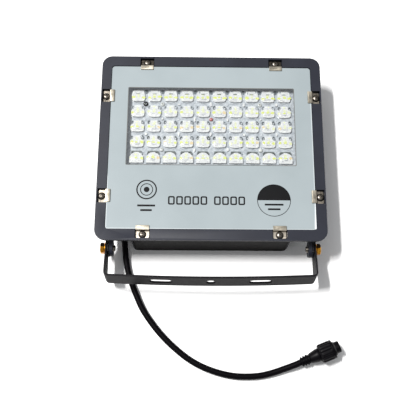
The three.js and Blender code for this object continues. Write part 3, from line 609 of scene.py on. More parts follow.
# --------------------------------------------------- housing and fixed nodes
housing = from_node("housing", "housing_cast", PAINT, 0.7, 3, 32, "paint")
housing.data.materials.append(BOX_PAINTED_SHADE)
# the rear box's front wall, its ends and its underside ahead of y -23 mm take the darker copy: painted shade under the
# rim
for f in housing.data.polygons:
    c = f.center * 1000
    ly = c.y - Y_SHIFT
    if c.z < 31.9 and abs(c.x) < 77.6 and -96.2 < ly < -23.0 and (abs(f.normal.z) < 0.3 or c.z < 0.5) and (ly < -94.8 or c.z < 0.5 or abs(c.x) > 76.5):
        f.material_index = 1
bracket = from_node("bracket", "bracket_strap", BRACKET_PAINT, 0.25, 2, 32, "bracket_paint")


def bow_strap(me):
    """The strap bows a little between its corners, as a bolted U of thin steel does."""
    bm = bmesh.new()
    bm.from_mesh(me)
    for k in range(-15, 16):
        geom = bm.verts[:] + bm.edges[:] + bm.faces[:]
        bmesh.ops.bisect_plane(bm, geom=geom, plane_co=(k * 0.0064 + 0.0003, 0, 0), plane_no=(1, 0, 0), dist=1e-6)
    out = Vector((0, -math.cos(math.radians(8)), math.sin(math.radians(8))))
    pivot = P(0, -98.8, 21.5)
    for v in bm.verts:
        reach = (v.co - pivot).dot(out) * 1000
        t = min(1.0, max(0.0, reach / 31.0))
        u = min(1.0, abs(v.co.x) * 1000 / 100.0)
        inner = 0.0005 if 28.0 < reach < 31.95 and abs(v.co.x) < 0.0985 else 0.0
        v.co += out * (0.001 * t * (1.25 - 2.5 * u * u) - inner)
    bm.to_mesh(me)
    bm.free()


bow_strap(bracket.data)
bracket.data.set_sharp_from_angle(angle=math.radians(40))

CAD_LOOKS = {
    "glass_gasket": SILICONE, "led_board": BOARD, "battery_cell_1": WRAP, "battery_cell_2": WRAP, "battery_clamp": STEEL, "clamp_screw": SCREW,
    "controller_board": GREEN, "controller_screw_1": SCREW, "controller_screw_2": SCREW, "lead_panel": RUBBER, "lead_battery": WIRE, "lead_led": WIRE,
    "gland_seal": SEAL,
}
for node, mat in CAD_LOOKS.items():
    me = NODES[node].data
    me.materials.clear()
    me.materials.append(mat)

# ------------------------------------------------------------ glass and print
GLASS_Z0, GLASS_Z1 = 39.1, 43.1
bm = bmesh.new()
prism(bm, rounded(199.8, 170, 3, 5), GLASS_Z0, GLASS_Z1)
glass = add_object("front_glass_sheet", bm, GLASS, HEAD, 32, "clear_glass")
bevel(glass, 0.1, 2, 40)
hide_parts("front_glass")


def lift(x, y):
    """Where a point drawn for the sheet's back face is drawn on its front face, seen along the same line."""
    return 0.99354 * x - 0.0803, 0.99354 * y - 1.676


(WX0, WY0), (WX1, WY1) = lift(-82.9, -18.7), lift(82.9, 63.5)     # clear window in the print
WCX, WCY, WW, WH = (WX0 + WX1) / 2, (WY0 + WY1) / 2, WX1 - WX0, WY1 - WY0
PZ = 43.12
bm = bmesh.new()
ring_slab(bm, rounded(199.7, 169.9, 2.9, 5), rounded(WW + 1.4, WH + 1.4, 1.2, 5, WCX, WCY), PZ, PZ + 0.04)
add_object("glass_print", bm, PRINT, HEAD, 30)
bm = bmesh.new()
ring_slab(bm, rounded(WW + 1.4, WH + 1.4, 1.2, 5, WCX, WCY), rounded(WW, WH, 0.6, 5, WCX, WCY), PZ, PZ + 0.05)
add_object("glass_print_line", bm, PRINT_LINE, HEAD, 30)


def arc_band(bm, cx, cy, r0, r1, a0, a1, z0, z1, n=40, mat=0):
    full = abs(a1 - a0) >= 359.9
    angs = [math.radians(a0 + (a1 - a0) * i / n) for i in range(n if full else n + 1)]
    if full:
        ring_slab(bm, [(cx + r1 * math.cos(a), cy + r1 * math.sin(a)) for a in angs], [(cx + r0 * math.cos(a), cy + r0 * math.sin(a)) for a in angs], z0, z1, mat)
        return
    pts = [(cx + r1 * math.cos(a), cy + r1 * math.sin(a)) for a in angs] + [(cx + r0 * math.cos(a), cy + r0 * math.sin(a)) for a in reversed(angs)]
    lo = [bm.verts.new(P(x, y, z0)) for x, y in pts]
    hi = [bm.verts.new(P(x, y, z1)) for x, y in pts]
    m = len(angs)
    for k in range(m - 1):
        q = (k, k + 1, 2 * m - 2 - k, 2 * m - 1 - k)
        bm.faces.new([hi[i] for i in q])
        bm.faces.new([lo[i] for i in reversed(q)])
    for k in range(2 * m):
        j = (k + 1) % (2 * m)
        bm.faces.new((lo[k], lo[j], hi[j], hi[k]))


def bar(bm, x0, x1, y0, y1, z0, z1, r=0.3, mat=0):
    prism(bm, rounded(x1 - x0, y1 - y0, min(r, (x1 - x0) / 2 - 0.01, (y1 - y0) / 2 - 0.01), 3, (x0 + x1) / 2, (y0 + y1) / 2), z0, z1, mat)


MZ0, MZ1 = PZ + 0.05, PZ + 0.08
# generic mark on the left: plain ring, dot and two short bars
bm = bmesh.new()
mx, my = lift(-62.2, -44.6)
arc_band(bm, mx, my, 8.6, 9.9, 0, 360, MZ0, MZ1, 56)
arc_band(bm, mx, my, 5.4, 6.2, 0, 360, MZ0, MZ1, 48)
prism(bm, [(mx + 2.7 * math.cos(2 * math.pi * i / 32), my + 2.7 * math.sin(2 * math.pi * i / 32)) for i in range(32)], MZ0, MZ1)
for k, w in enumerate((17.0, 11.0)):
    bar(bm, mx - w / 2, mx + w / 2, my - 17.0 - 4.6 * k, my - 15.1 - 4.6 * k, MZ0, MZ1, 0.5)
add_object("print_ring_mark", bm, INK, HEAD, 30)
# generic row in the middle: empty rounded boxes in two groups
bm = bmesh.new()
x, my = lift(-41.4, -55.4)
for k in range(9):
    ring_slab(bm, rounded(6.4, 8.6, 1.6, 5, x + 3.2, my), rounded(3.5, 5.7, 0.5, 5, x + 3.2, my), MZ0, MZ1)
    x += 6.4 + (6.5 if k == 4 else 1.35)
add_object("print_box_row", bm, INK, HEAD, 30)
# generic half-filled disc on the right
bm = bmesh.new()
mx, my = lift(60.5, -54.7)
arc_band(bm, mx, my, 15.5, 16.1, 0, 360, MZ0, MZ1, 72)
n = 40
half = [(mx + 15.8 * math.cos(math.pi * i / n), my + 15.8 * math.sin(math.pi * i / n)) for i in range(n + 1)]
prism(bm, half, MZ0, MZ1)
for k, w in enumerate((18.0, 12.0)):
    bar(bm, mx - w / 2, mx + w / 2, my - 5.2 - 4.6 * k, my - 3.4 - 4.6 * k, MZ0, MZ1, 0.5)
add_object("print_half_disc", bm, INK, HEAD, 30)

# painted highlight along the glass's edge: a pale strip on the right, brighter low down, and a trace along the bottom
# and the lower left
bm = bmesh.new()
prism(bm, [(99.8, -54.0), (99.8, 60.0), (99.1, 60.0), (98.9, 40.0), (99.0, 10.0), (98.95, -54.0)], PZ + 0.05, PZ + 0.08)
prism(bm, [(-99.3, -84.9), (97.6, -84.9), (97.6, -84.3), (40.0, -84.4), (-30.0, -84.3), (-99.3, -84.1)], PZ + 0.05, PZ + 0.08)
prism(bm, [(-99.8, -84.0), (-99.0, -84.0), (-99.1, -60.0), (-99.2, -34.0), (-99.8, -30.0)], PZ + 0.05, PZ + 0.08)
add_object("glass_edge_painted_highlight_thin", bm, EDGE_PAINTED_HIGHLIGHT_SOFT, HEAD, 30)
bm = bmesh.new()
prism(bm, [(99.8, -84.3), (99.8, -54.1), (99.0, -54.1), (98.8, -64.0), (98.3, -76.0), (98.0, -84.6)], PZ + 0.05, PZ + 0.08)
add_object("glass_edge_painted_highlight_strip", bm, EDGE_PAINTED_HIGHLIGHT_PALE, HEAD, 30)


# -------------------------------------------------------------- clips, screws
CLIP_SPOTS = [(-64.8, 96, 180), (64.8, 96, 180), (110.8, 52.3, 90), (110.8, -52.3, 90), (64.8, -96, 0), (-64.8, -96, 0), (-110.8, -52.3, -90), (-110.8, 52.3, -90)]
SCREW_IN = 5.9


def clip_mesh():
    """Z-bent leaf: foot under the screw, riser, lip on the glass, with soft bends and rounded outer corners."""
    f0, t, l0 = 39.8, 1.0, 43.4
    y0, riser, lip = 2.6, 9.9, 14.5
    top = []      # (y, z) of the upper face, foot to lip

    def arc(cy, cz, r, a0, a1, n=5):
        return [(cy + r * math.cos(math.radians(a0 + (a1 - a0) * i / n)), cz + r * math.sin(math.radians(a0 + (a1 - a0) * i / n))) for i in range(n + 1)]
    top += [(y0, f0 + t), (y0 + 2.0, f0 + t), (riser - 0.9, f0 + t)]
    top += arc(riser - 0.3 - 0.45, f0 + t + 0.45, 0.45, -90, 0)
    top += arc(riser - 0.3 + 0.75, l0 + t - 0.75, 0.75, 180, 90)
    top += [(lip - 0.8, l0 + t), (lip - 0.25, l0 + t - 0.1), (lip, l0 + t - 0.35)]
    under = [(lip, l0), (riser + 1.2, l0)]
    under += arc(riser + 0.7 + 0.25, l0 - 0.25, 0.25, 90, 180, 3)
    under += arc(riser - 0.05, f0 + 0.75, 0.75, 0, -90)
    under += [(y0 + 2.0, f0), (y0, f0)]
    prof = top + under
    bm = bmesh.new()
    w = 6.3
    xs = [-w, w]
    rows = [[bm.verts.new(Vector((x * 0.001, y * 0.001, z * 0.001))) for y, z in prof] for x in xs]
    n = len(prof)
    for i in range(n):
        j = (i + 1) % n
        bm.faces.new((rows[0][i], rows[0][j], rows[1][j], rows[1][i]))
    bm.faces.new(rows[0][::-1])
    bm.faces.new(rows[1])
    # outer corners of the foot rounded, and the screw hole
    tool = bmesh.new()
    outline = rounded(2 * w, 40, 1.6, 5, 0, y0 + 20)
    flat = lambda x, y, z: Vector((x * 0.001, y * 0.001, z * 0.001))
    prism(tool, outline, 38, 46, at=flat)
    me = boolean_mesh(bm, tool, "INTERSECT")
    bm = bmesh.new()
    bm.from_mesh(me)
    hole = bmesh.new()
    lathe(hole, [(0, -3), (1.95, -3), (1.95, 3), (0, 3)], 28, flat(0, SCREW_IN, f0 + 0.5), (0, 0, 1))
    return boolean_mesh(bm, hole)


def cross_screw_mesh(r, z_seat, h, shank_r, depth, recess=1.0, n=40):
    """Pan head with a cross recess, drawn about its own axis with z in lamp mm."""
    bm = bmesh.new()
    flat = lambda x, y, z: Vector((x * 0.001, y * 0.001, z * 0.001))
    prof = [(0, z_seat - depth), (shank_r * 0.75, z_seat - depth), (shank_r, z_seat - depth + 0.5), (shank_r, z_seat), (r - 0.12, z_seat), (r, z_seat + 0.14)]
    for i in range(0, 9):
        a = math.radians(8 + 82 * i / 8)
        prof.append((max(0.0, r * math.cos(a)) if i < 8 else 0.0, z_seat + h * 0.30 + h * 0.70 * math.sin(a)))
    lathe(bm, prof, n, Vector((0, 0, 0)), (0, 0, 1))
    tool = bmesh.new()
    top = z_seat + h + 0.4
    for turn in (0, 1):
        l, w, d = r * 0.60, r * 0.15, h * 0.62 * recess
        bottom = z_seat + h - d
        pts = []
        for zz, ll, ww in ((bottom, l * 0.45, w * 0.7), (top, l, w)):
            for sx, sy in ((-1, -1), (1, -1), (1, 1), (-1, 1)):
                X, Y = sx * ll, sy * ww
                pts.append((X, Y, zz) if not turn else (-Y, X, zz))
        vs = [tool.verts.new(flat(*p)) for p in pts]
        for q in ((3, 2, 1, 0), (4, 5, 6, 7), (0, 1, 5, 4), (1, 2, 6, 5), (2, 3, 7, 6), (3, 0, 4, 7)):
            tool.faces.new([vs[i] for i in q])
        if turn == 0:
            first = tool
            me = boolean_mesh(bm, first)
            bm = bmesh.new()
            bm.from_mesh(me)
            tool = bmesh.new()
    return boolean_mesh(bm, tool)


def place(o, x, y, turn=0.0):
    o.matrix_world = Matrix.Translation(P(x, y, 0)) @ Matrix.Rotation(math.radians(turn), 4, "Z")
    bpy.context.view_layer.update()


clip_base = clip_mesh()
clip_base.materials.clear()
clip_base.shade_smooth()
clip_base.set_sharp_from_angle(angle=math.radians(34))
clip_kinds = []
# each clip kind's foot takes steel by where the clip sits: darkest on the top clips, darker on the side clips, plain on
# the bottom ones: painted shade
for foot in (STEEL_TOP_PAINTED_SHADE, STEEL_SIDE_PAINTED_SHADE, STEEL):
    me = clip_base.copy()
    me.materials.append(foot)
    me.materials.append(STEEL)
    me.materials.append(STEEL_LIP_PAINTED_SHADE)
    # foot below y 9.4 mm; the upper bend takes the brighter steel as a painted highlight line, and the lip the darker
    # copy as painted shade
    for f in me.polygons:
        y = f.center.y * 1000
        f.material_index = 0 if y < 9.4 else (1 if y < 10.9 and f.center.z > 0.0436 else 2)
    clip_kinds.append(me)
screw_me = cross_screw_mesh(3.2, 41.1, 2.1, 1.5, 6.9)
screw_me.materials.clear()
screw_me.materials.append(SCREW)
screw_me.materials.append(PLASTIC)
bm = bmesh.new()
bm.from_mesh(screw_me)
for f in bm.faces:
    f.material_index = 0
# thin black ring under the head: painted shade for the dark gap round the screw head
lathe(bm, [(1.7, 40.82), (3.65, 40.82), (3.75, 40.9), (3.75, 41.02), (3.65, 41.08), (1.7, 41.08)], 40, Vector((0, 0, 0)), (0, 0, 1), mat=1, closed=True)
bmesh.ops.recalc_face_normals(bm, faces=bm.faces)
bm.to_mesh(screw_me)
bm.free()
screw_me.shade_smooth()
screw_me.set_sharp_from_angle(angle=math.radians(34))
TURNS = [20, -35, 50, 8, 42, -18, 31, -7]
for i, (x, y, turn) in enumerate(CLIP_SPOTS):
    o = bpy.data.objects.new(f"glass_clip_leaf_{i + 1}", clip_kinds[{180: 0, 90: 1, -90: 1, 0: 2}[turn]])
    bpy.context.scene.collection.objects.link(o)
    place(o, x, y, turn)
    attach(o, HEAD)
    b = bevel(o, 0.14, 2, 40)
    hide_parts(f"glass_clip_{i + 1}")
    a = math.radians(turn)
    sx, sy = x - math.sin(a) * SCREW_IN, y + math.cos(a) * SCREW_IN
    s = bpy.data.objects.new(f"clip_screw_head_{i + 1}", screw_me)
    bpy.context.scene.collection.objects.link(s)
    place(s, sx, sy, TURNS[i])
    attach(s, HEAD)
    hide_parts(f"clip_screw_{i + 1}")

# -------------------------------------------------------------- light engine
COLS, ROWS, PITCH, LED_CX, LED_CY = 10, 5, 16.276, -0.056, 22.13


def lens_field():
    """Moulded lens plate: pads drawn in at the top, yellow chips seen through them, feet, loops and pegs, all closed little solids."""
    mats = [LENS_PLATE, LENS_WHITE, PHOSPHOR, PHOSPHOR_PALE, LENS_MARK, LENS_MARK_SOFT, LENS_FLANGE, PEACH, LILAC, LENS_SHADE]
    plate, white, yellow, pale, mark, soft, flange, peach, lilac, shade = range(10)
    rng = np.random.default_rng(11)
    top, base = 38.1, 36.2
    bm = bmesh.new()
    prism(bm, rounded(171.0, 88.0, 2, 4, 0, LED_CY + 0.4), 31.5, base, plate)

    def j(s):
        return float(rng.normal(0, s))

    def blob(x, y, w, h, z0, z1, mat, n=9, wobble=0.16):
        k = 1 + rng.normal(0, wobble, n)
        a0 = rng.random() * 6.28
        prism(bm, [(x + w / 2 * k[i] * math.cos(a0 + 2 * math.pi * i / n), y + h / 2 * k[i] * math.sin(a0 + 2 * math.pi * i / n)) for i in range(n)], z0, z1, mat)

    def poly(pts, z0, z1, mat, s=0.12):
        prism(bm, [(x + j(s), y + j(s)) for x, y in pts], z0, z1, mat)

    for r in range(ROWS):
        for c in range(COLS):
            x = LED_CX + (c - (COLS - 1) / 2) * PITCH
            y = LED_CY + ((ROWS - 1) / 2 - r) * PITCH
            # foot of the lens on the plate, and the shaded line under its near edge
            if r < ROWS - 1:
                prism(bm, rounded(14.4, 13.4, 4.6, 5, x, y - 0.5), base - 0.1, base + 0.3, flange)
            pts = [(x + 6.9 * math.cos(math.radians(a)), y - 1.3 + 5.6 * math.sin(math.radians(a))) for a in range(-150, -29, 15)]
            pts += [(x + 6.3 * math.cos(math.radians(a)), y - 1.3 + 5.0 * math.sin(math.radians(a))) for a in range(-30, -151, -15)]
            prism(bm, pts, base + 0.3, base + 0.7, soft)
            # body
            if r == 0:
                body = [(-6.4, -2.6), (-6.0, -4.6), (-4.6, -5.4), (4.6, -5.4), (6.0, -4.6), (6.4, -2.6), (6.5, 0.6), (6.0, 3.4), (5.2, 6.6), (3.0, 7.6), (-3.0, 7.6), (-5.2, 6.6), (-6.0, 3.4), (-6.4, 0.6)]
            elif r < ROWS - 1:
                body = [(-6.6, -2.4), (-6.3, -4.6), (-4.9, -5.8), (0, -6.1), (4.9, -5.8), (6.3, -4.6), (6.6, -2.4), (6.7, 0.4), (6.1, 1.7), (4.1, 2.3), (3.7, 4.4), (3.2, 6.2), (-3.2, 6.2), (-3.7, 4.4),
                        (-4.1, 2.3), (-6.1, 1.7), (-6.7, 0.4)]
            else:
                body = [(-6.7, -6.2), (6.7, -6.2), (6.8, -2.5), (6.4, 0.2), (5.2, 2.3), (3.4, 3.9), (1.4, 4.8), (-1.4, 4.8), (-3.4, 3.9), (-5.2, 2.3), (-6.4, 0.2), (-6.8, -2.5)]
            poly([(x + px, y + py) for px, py in body], base + 0.1, top, white)
            z0, z1 = top - 0.1, top + 0.08
            # yellow images of the chip in the lens's ends
            big = r == 0
            for s in (-1, 1):
                m = yellow if big or rng.random() < 0.55 else (pale if rng.random() < 0.6 else peach)
                blob(x + s * (5.0 + j(0.25)), y - 1.2 + j(0.35), 3.1 + (0.7 if big else 0) + j(0.25), 2.7 + j(0.3), z0, z1, m)
            # column of paler images over the chip
            blob(x + j(0.3), y - 0.9 + j(0.3), 3.2 + j(0.3), 1.9 + j(0.2), z0, z1, pale if rng.random() < 0.5 else yellow)
            blob(x + j(0.3), y + 1.6 + j(0.4), 2.9 + j(0.4), 2.3 + j(0.3), z0, z1 - 0.02, pale)
            if 0 < r < ROWS - 1:
                blob(x + j(0.3), y + 4.3 + j(0.4), 2.0 + j(0.3), 1.5, z0, z1 - 0.02, pale)
            # fine dashes
            if r == 0:
                bar(bm, x - 1.9 + j(0.2), x + 1.9 + j(0.2), y + 2.2, y + 3.0 + j(0.08), z0, z1 + 0.03, 0.3, mark)
                for s in (-1, 1):
                    if rng.random() < 0.75:
                        blob(x + s * (4.3 + j(0.5)), y + 5.3 + j(0.5), 1.8 + j(0.3), 2.4 + j(0.4), z0, z1, soft)
            for _ in range(3):
                w = 1.2 + 1.6 * rng.random()
                px, py = x + j(1.9), y - 3.2 + j(1.2)
                bar(bm, px - w / 2, px + w / 2, py, py + 0.35, z0, z1 - 0.01, 0.15, lilac)
            if rng.random() < 0.6:
                px = x + (1 if rng.random() < 0.6 else -1) * (2.2 + j(0.3))
                bar(bm, px - 0.22, px + 0.22, y - 3.4 + j(0.3), y - 0.4 + j(0.5), z0, z1 - 0.01, 0.15, soft if r > 1 else lilac)
                bar(bm, x - 1.7, x + 1.9, y - 3.4 + j(0.15), y - 2.95, z0, z1, 0.2, soft)
            # loops in the upper corners
            if 0 < r < ROWS - 1:
                m = (soft, shade, shade)[r - 1] if rng.random() < 0.75 else (shade, soft, mark)[r - 1]
                for s in (-1, 1):
                    cx, cy = x + s * (5.1 + j(0.15)), y + 4.0 + j(0.25)
                    a0, a1 = (0, 360) if (s < 0 or rng.random() < 0.35) else (-100, 130)
                    n = 12
                    if a1 - a0 >= 359:
                        ring_slab(bm, [(cx + 1.45 * math.cos(2 * math.pi * i / n), cy + 2.15 * math.sin(2 * math.pi * i / n)) for i in range(n)],
                                  [(cx + 0.75 * math.cos(2 * math.pi * i / n), cy + 1.4 * math.sin(2 * math.pi * i / n)) for i in range(n)], base + 0.3, top - 0.3, m)
                    else:
                        an = [math.radians(a0 + (a1 - a0) * i / n) for i in range(n + 1)]
                        pts = [(cx + s * 1.45 * math.cos(a), cy + 2.15 * math.sin(a)) for a in an] + [(cx + s * 0.7 * math.cos(a), cy + 1.4 * math.sin(a)) for a in reversed(an)]
                        prism(bm, pts if s > 0 else pts[::-1], base + 0.3, top - 0.3, m)
            # dark arch over the last row
            if r == ROWS - 1:
                arch = [(-5.2, 4.6), (-5.0, 6.2), (5.0, 6.2), (5.2, 4.6), (4.4, 4.3), (3.4, 4.9), (-3.4, 4.9), (-4.4, 4.3)]
                poly([(x + px, y + py) for px, py in arch], base + 0.3, top - 0.2, mark, 0.1)
                for s in (-1, 1):
                    poly([(x + s * 5.9, y + 5.0), (x + s * 5.0, y + 5.0), (x + s * 4.9, y + 3.0), (x + s * 5.7, y + 2.8)], base + 0.3, top - 0.25, mark if rng.random() < 0.5 else soft, 0.12)
    # painted shadow in the gaps between the lenses of the first row
    for c in range(COLS + 1):
        x = LED_CX + (c - COLS / 2) * PITCH
        y = LED_CY + 2 * PITCH
        if 0 < c < COLS:
            poly([(x - 1.3, y + 7.6), (x + 1.3, y + 7.6), (x + 1.0, y + 3.4), (x - 1.0, y + 3.4)], base - 0.1, base + 0.4, shade, 0.2)
    # pegs where four lenses meet, and blurred highlights on the plate
    for r in range(ROWS - 1):
        for c in range(COLS - 1):
            x = LED_CX + (c - (COLS - 2) / 2) * PITCH
            y = LED_CY + ((ROWS - 2) / 2 - r) * PITCH
            if (r, c) == (1, 4) or (r, c) == (0, 0):
                continue
            if (c + r) % 2 == 0:
                blob(x + j(0.3), y + j(0.3), 2.4 + j(0.3), 3.4 + j(0.6), base - 0.1, base + 1.4, white)
            elif rng.random() < 0.6:
                blob(x + j(0.4), y + j(0.4), 2.2 + j(0.4), 2.2 + j(0.4), base - 0.1, base + 0.4, flange)
    return bm, mats


bm, mats = lens_field()
lens = add_object("lens_plate", bm, mats, HEAD, 30, "lens")
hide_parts("lens_array")


def dome_field():
    """Clear two-lobed lens domes over the pads, one closed shell each."""
    bm = bmesh.new()
    nu, nv = 20, 6
    for r in range(ROWS):
        for c in range(COLS):
            x = LED_CX + (c - (COLS - 1) / 2) * PITCH
            y = LED_CY + ((ROWS - 1) / 2 - r) * PITCH - 0.3
            rings = []
            for v in range(nv):
                t = v / nv * math.pi / 2
                ring = []
                for u in range(nu):
                    a = 2 * math.pi * u / nu
                    ca, sa = math.cos(a), math.sin(a)
                    # outline between an ellipse and a box, pinched at the middle
                    px = 6.0 * math.copysign(abs(ca) ** 0.75, ca)
                    py = 5.3 * math.copysign(abs(sa) ** 0.8, sa) * (0.86 + 0.14 * min(1.0, abs(px) / 3.2))
                    k = math.cos(t)
                    z = 38.22 + 0.7 * math.sin(t)
                    ring.append(bm.verts.new(P(x + px * k, y + py * k, z)))
                rings.append(ring)
            tip = bm.verts.new(P(x, y, 38.92))
            for a, b in zip(rings, rings[1:]):
                for u in range(nu):
                    w = (u + 1) % nu
                    bm.faces.new((a[u], a[w], b[w], b[u]))
            for u in range(nu):
                bm.faces.new((rings[-1][u], rings[-1][(u + 1) % nu], tip))
            bm.faces.new(rings[0][::-1])
    return bm


domes = add_object("lens_domes", dome_field(), LENS_CLEAR, HEAD, 60, "lens")

# board screws, indicator and receiver between the lenses
small_me = cross_screw_mesh(2.2, 36.25, 1.5, 1.1, 12.75, n=28)
small_me.materials.clear()
small_me.materials.append(PALE_SCREW)
small_me.shade_smooth()
small_me.set_sharp_from_angle(angle=math.radians(34))
for i, (x, y) in enumerate(((LED_CX - 3 * PITCH, LED_CY + 1.5 * PITCH), (LED_CX + 3 * PITCH, LED_CY + 1.5 * PITCH), (LED_CX - 3 * PITCH, LED_CY - 1.5 * PITCH), (LED_CX + 3 * PITCH, LED_CY - 1.5 * PITCH))):
    o = bpy.data.objects.new(f"board_screw_head_{i + 1}", small_me)
    bpy.context.scene.collection.objects.link(o)
    place(o, x, y, 15 + 40 * i)
    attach(o, HEAD)
    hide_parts(f"board_screw_{i + 1}")

bm = bmesh.new()
prof = [(0, 30.7), (1.9, 30.7), (1.9, 36.9)] + [(1.9 * math.cos(math.radians(a)), 36.9 + 1.2 * math.sin(math.radians(a))) for a in (12, 24, 36, 48, 60, 72, 82)] + [(0, 38.1)]
lathe(bm, prof, 32, P(LED_CX, LED_CY + 0.5 * PITCH, 0), (0, 0, 1))
o = add_object("indicator_dome", bm, RED, HEAD, 50, "red_lens")
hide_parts("indicator_led")

bm = bmesh.new()
rx, ry = LED_CX - 4 * PITCH - 0.5, LED_CY + 1.5 * PITCH + 0.3
lathe(bm, [(1.15, 36.4), (2.2, 36.4), (2.5, 36.55), (2.55, 36.95), (2.4, 37.25), (2.15, 37.35), (1.5, 37.35), (1.25, 37.2), (1.15, 36.9)], 40, P(rx, ry, 0), (0, 0, 1), closed=True, mat=0)
lathe(bm, [(1.1, 30.8), (2.0, 30.8), (2.0, 36.45), (1.1, 36.45)], 32, P(rx, ry, 0), (0, 0, 1), closed=True, mat=1)
lathe(bm, [(0, 31.0), (1.0, 31.0), (1.0, 36.4), (0.85, 36.8), (0.5, 37.0), (0, 37.05)], 28, P(rx, ry, 0), (0, 0, 1), mat=1)
o = add_object("receiver_eye", bm, [PLASTIC, CLEAR_DOT], HEAD, 40, "black_plastic")
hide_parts("remote_receiver")


# ---------------------------------------------------------------- pivots
PIVOT_Y, PIVOT_Z = -98.8, 21.5
for s, side in ((-1, "left"), (1, "right")):
    at = P(0, PIVOT_Y, PIVOT_Z)
    ax = Vector((s, 0, 0))
    # toothed disc
    bm = bmesh.new()

    def teeth(a, k):
        if k in (2, 3, 4, 5):
            return 1.0 - 0.045 * (0.5 - 0.5 * math.cos(a * 24))
        return 1.0
    lathe(bm, [(3.3, 97.32), (7.6, 97.32), (8.1, 97.42), (8.3, 97.68), (8.3, 98.6), (8.1, 98.88), (7.6, 98.98), (3.3, 98.98)], 192, at, ax, closed=True, shape=teeth)
    o = add_object(f"friction_disc_ring_{side}", bm, DISC, HEAD, 40, "black_plastic")
    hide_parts(f"friction_disc_{side}")
    # split spring washer
    bm = bmesh.new()
    n = 64
    rings = []
    for i in range(n + 1):
        a = math.radians(8 + 344 * i / n)
        lift = 0.22 * (i / n - 0.5)
        sect = []
        for r, h in ((3.35, 101.32), (5.45, 101.32), (5.45, 102.08), (3.35, 102.08)):
            v = Vector((s * (h + lift) * 0.001, r * math.cos(a) * 0.001, r * math.sin(a) * 0.001))
            sect.append(bm.verts.new(P(0, PIVOT_Y, PIVOT_Z) + v))
        rings.append(sect)
    for a, b in zip(rings, rings[1:]):
        for k in range(4):
            bm.faces.new((a[k], a[(k + 1) % 4], b[(k + 1) % 4], b[k]))
    bm.faces.new(rings[0][::-1])
    bm.faces.new(rings[-1])
    o = add_object(f"spring_washer_coil_{side}", bm, ZINC, HEAD, 35, "yellow_zinc")
    bevel(o, 0.12, 2, 50)
    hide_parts(f"spring_washer_{side}")
    # hex head chamfered at its corners, washer face, shank
    bm = bmesh.new()
    R = 10 / math.sqrt(3)
    x0, x1 = 102.6, 106.1
    hexp = [(R * math.cos(math.radians(60 * i + 30)), R * math.sin(math.radians(60 * i + 30))) for i in range(6)]
    lo = [bm.verts.new(at + Vector((s * x0, p, q)) * 0.001) for p, q in hexp]
    hi = [bm.verts.new(at + Vector((s * x1, p, q)) * 0.001) for p, q in hexp]
    bm.faces.new(lo[::-1])
    bm.faces.new(hi)
    for i in range(6):
        bm.faces.new((lo[i], lo[(i + 1) % 6], hi[(i + 1) % 6], hi[i]))
    cone = bmesh.new()
    lathe(cone, [(0, x0 - 0.5), (6.4, x0 - 0.5), (6.4, x1 - 1.3), (4.75, x1 + 0.02), (4.3, x1 + 0.02), (4.1, x1 - 0.16), (0, x1 - 0.16)], 64, at, ax)
    me = boolean_mesh(bm, cone, "INTERSECT")
    bm = bmesh.new()
    bm.from_mesh(me)
    lathe(bm, [(0, x0 + 0.5), (3.0, x0 + 0.5), (3.0, 97.6), (3.0, 92.7), (2.6, 91.9), (0, 91.85)], 32, at, ax)
    o = add_object(f"pivot_bolt_hex_{side}", bm, ZINC, HEAD, 28, "yellow_zinc")
    o.data.materials.clear()
    o.data.materials.append(ZINC)
    o.data.materials.append(SCREW)
    o.data.materials.append(ZINC_PAINTED_SHADE)
    # facets facing +y, towards the rim, take the darker zinc: painted shade
    for f in o.data.polygons:
        f.material_index = 1 if abs(f.center.x) < 0.0976 else (2 if f.normal.y > 0.2 else 0)
    bevel(o, 0.15, 2, 50)
    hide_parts(f"pivot_bolt_{side}")

# --------------------------------------------------------------- cable gland
for node, name, mat, slot in (("gland_body", "gland_hex", PLASTIC, "black_plastic"),):
    from_node(node, name, mat, 0.25, 2, 35, slot)
bm = bmesh.new()


def grip(a, k):
    return 1.0 - 0.05 * (0.5 - 0.5 * math.cos(a * 14)) if k in (2, 3, 4) else 1.0


lathe(bm, [(6.2, 4.8), (7.6, 4.8), (7.95, 5.1), (8.0, 6.0), (7.9, 11.6), (7.5, 12.6), (6.9, 15.3), (6.2, 16.8), (5.1, 18.1), (4.4, 18.5), (3.6, 18.5), (3.4, 18.2), (3.4, 16.2), (5.2, 16.0),
            (6.2, 12.4)], 112, P(-85, -60, 14), (0, -1, 0), closed=True, shape=grip)
o = add_object("gland_cap", bm, PLASTIC, HEAD, 38, "black_plastic")
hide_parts("gland_nut")


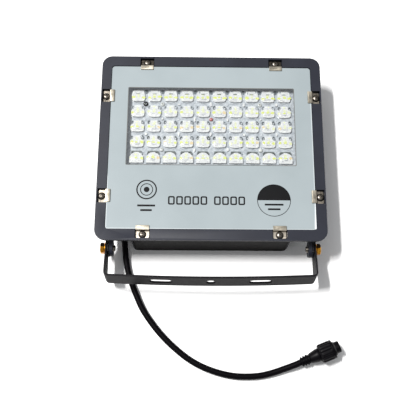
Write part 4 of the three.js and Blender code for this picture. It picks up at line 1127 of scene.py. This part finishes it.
# --------------------------------------------------------------------- stage
def make_stage():
    me = bpy.data.meshes.new("floor")
    s = 4.0
    me.from_pydata([(-s, -s, 0), (s, -s, 0), (s, s, 0), (-s, s, 0)], [], [(0, 1, 2, 3)])
    m, nt, b = base_material("studio_floor")
    b.inputs["Base Color"].default_value = (0.96, 0.96, 0.963, 1)
    b.inputs["Roughness"].default_value = 0.9
    b.inputs["Specular IOR Level"].default_value = 0.1
    me.materials.append(m)
    o = bpy.data.objects.new("floor", me)
    o.location = (0, 0, -0.0002)
    bpy.context.scene.collection.objects.link(o)
    o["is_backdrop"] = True

    w = bpy.data.worlds.new("studio")
    bpy.context.scene.world = w
    w.use_nodes = True
    bg = w.node_tree.nodes["Background"]
    wt = w.node_tree
    tc = wt.nodes.new("ShaderNodeTexCoord")
    sep = wt.nodes.new("ShaderNodeSeparateXYZ")
    link(wt, tc.outputs["Generated"], sep.inputs[0])
    bg.inputs["Strength"].default_value = 1.0
    link(wt, ramp(wt, sep.outputs["Z"], [(0.0, (0.11, 0.105, 0.10)), (0.25, (0.24, 0.24, 0.238)), (0.65, (0.43, 0.435, 0.44)), (1.0, (0.54, 0.545, 0.555))]), bg.inputs["Color"])

    def area(name, loc, target, size, size_y, energy, color=(1, 1, 1), long_axis=None):
        d = bpy.data.lights.new(name, "AREA")
        d.shape = "RECTANGLE"
        d.size, d.size_y = size, size_y
        d.energy = energy
        d.color = color
        lo = bpy.data.objects.new(name, d)
        bpy.context.scene.collection.objects.link(lo)
        z = (Vector(loc) - Vector(target)).normalized()
        y = Vector(long_axis) if long_axis else Vector((0, 1, 0))
        x = y.cross(z).normalized()
        y = z.cross(x).normalized()
        m = Matrix((x, y, z)).transposed().to_4x4()
        m.translation = Vector(loc)
        lo.matrix_world = m
        return lo

    c = Vector((0.0, -0.02, 0.02))
    area("key_light", c + Vector((-0.50, 0.21, 1.05)) * 4.0, c, 0.28, 1.3, 330, (1.0, 0.99, 0.975))
    area("glass_panel", c + Vector((-0.42, 0.27, 1.2)), c, 0.34, 0.34, 1.1, (0.97, 0.985, 1.0))


make_stage()
bpy.context.scene.view_settings.view_transform = "Standard"
bpy.context.scene.view_settings.look = "None"

lo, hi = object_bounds()
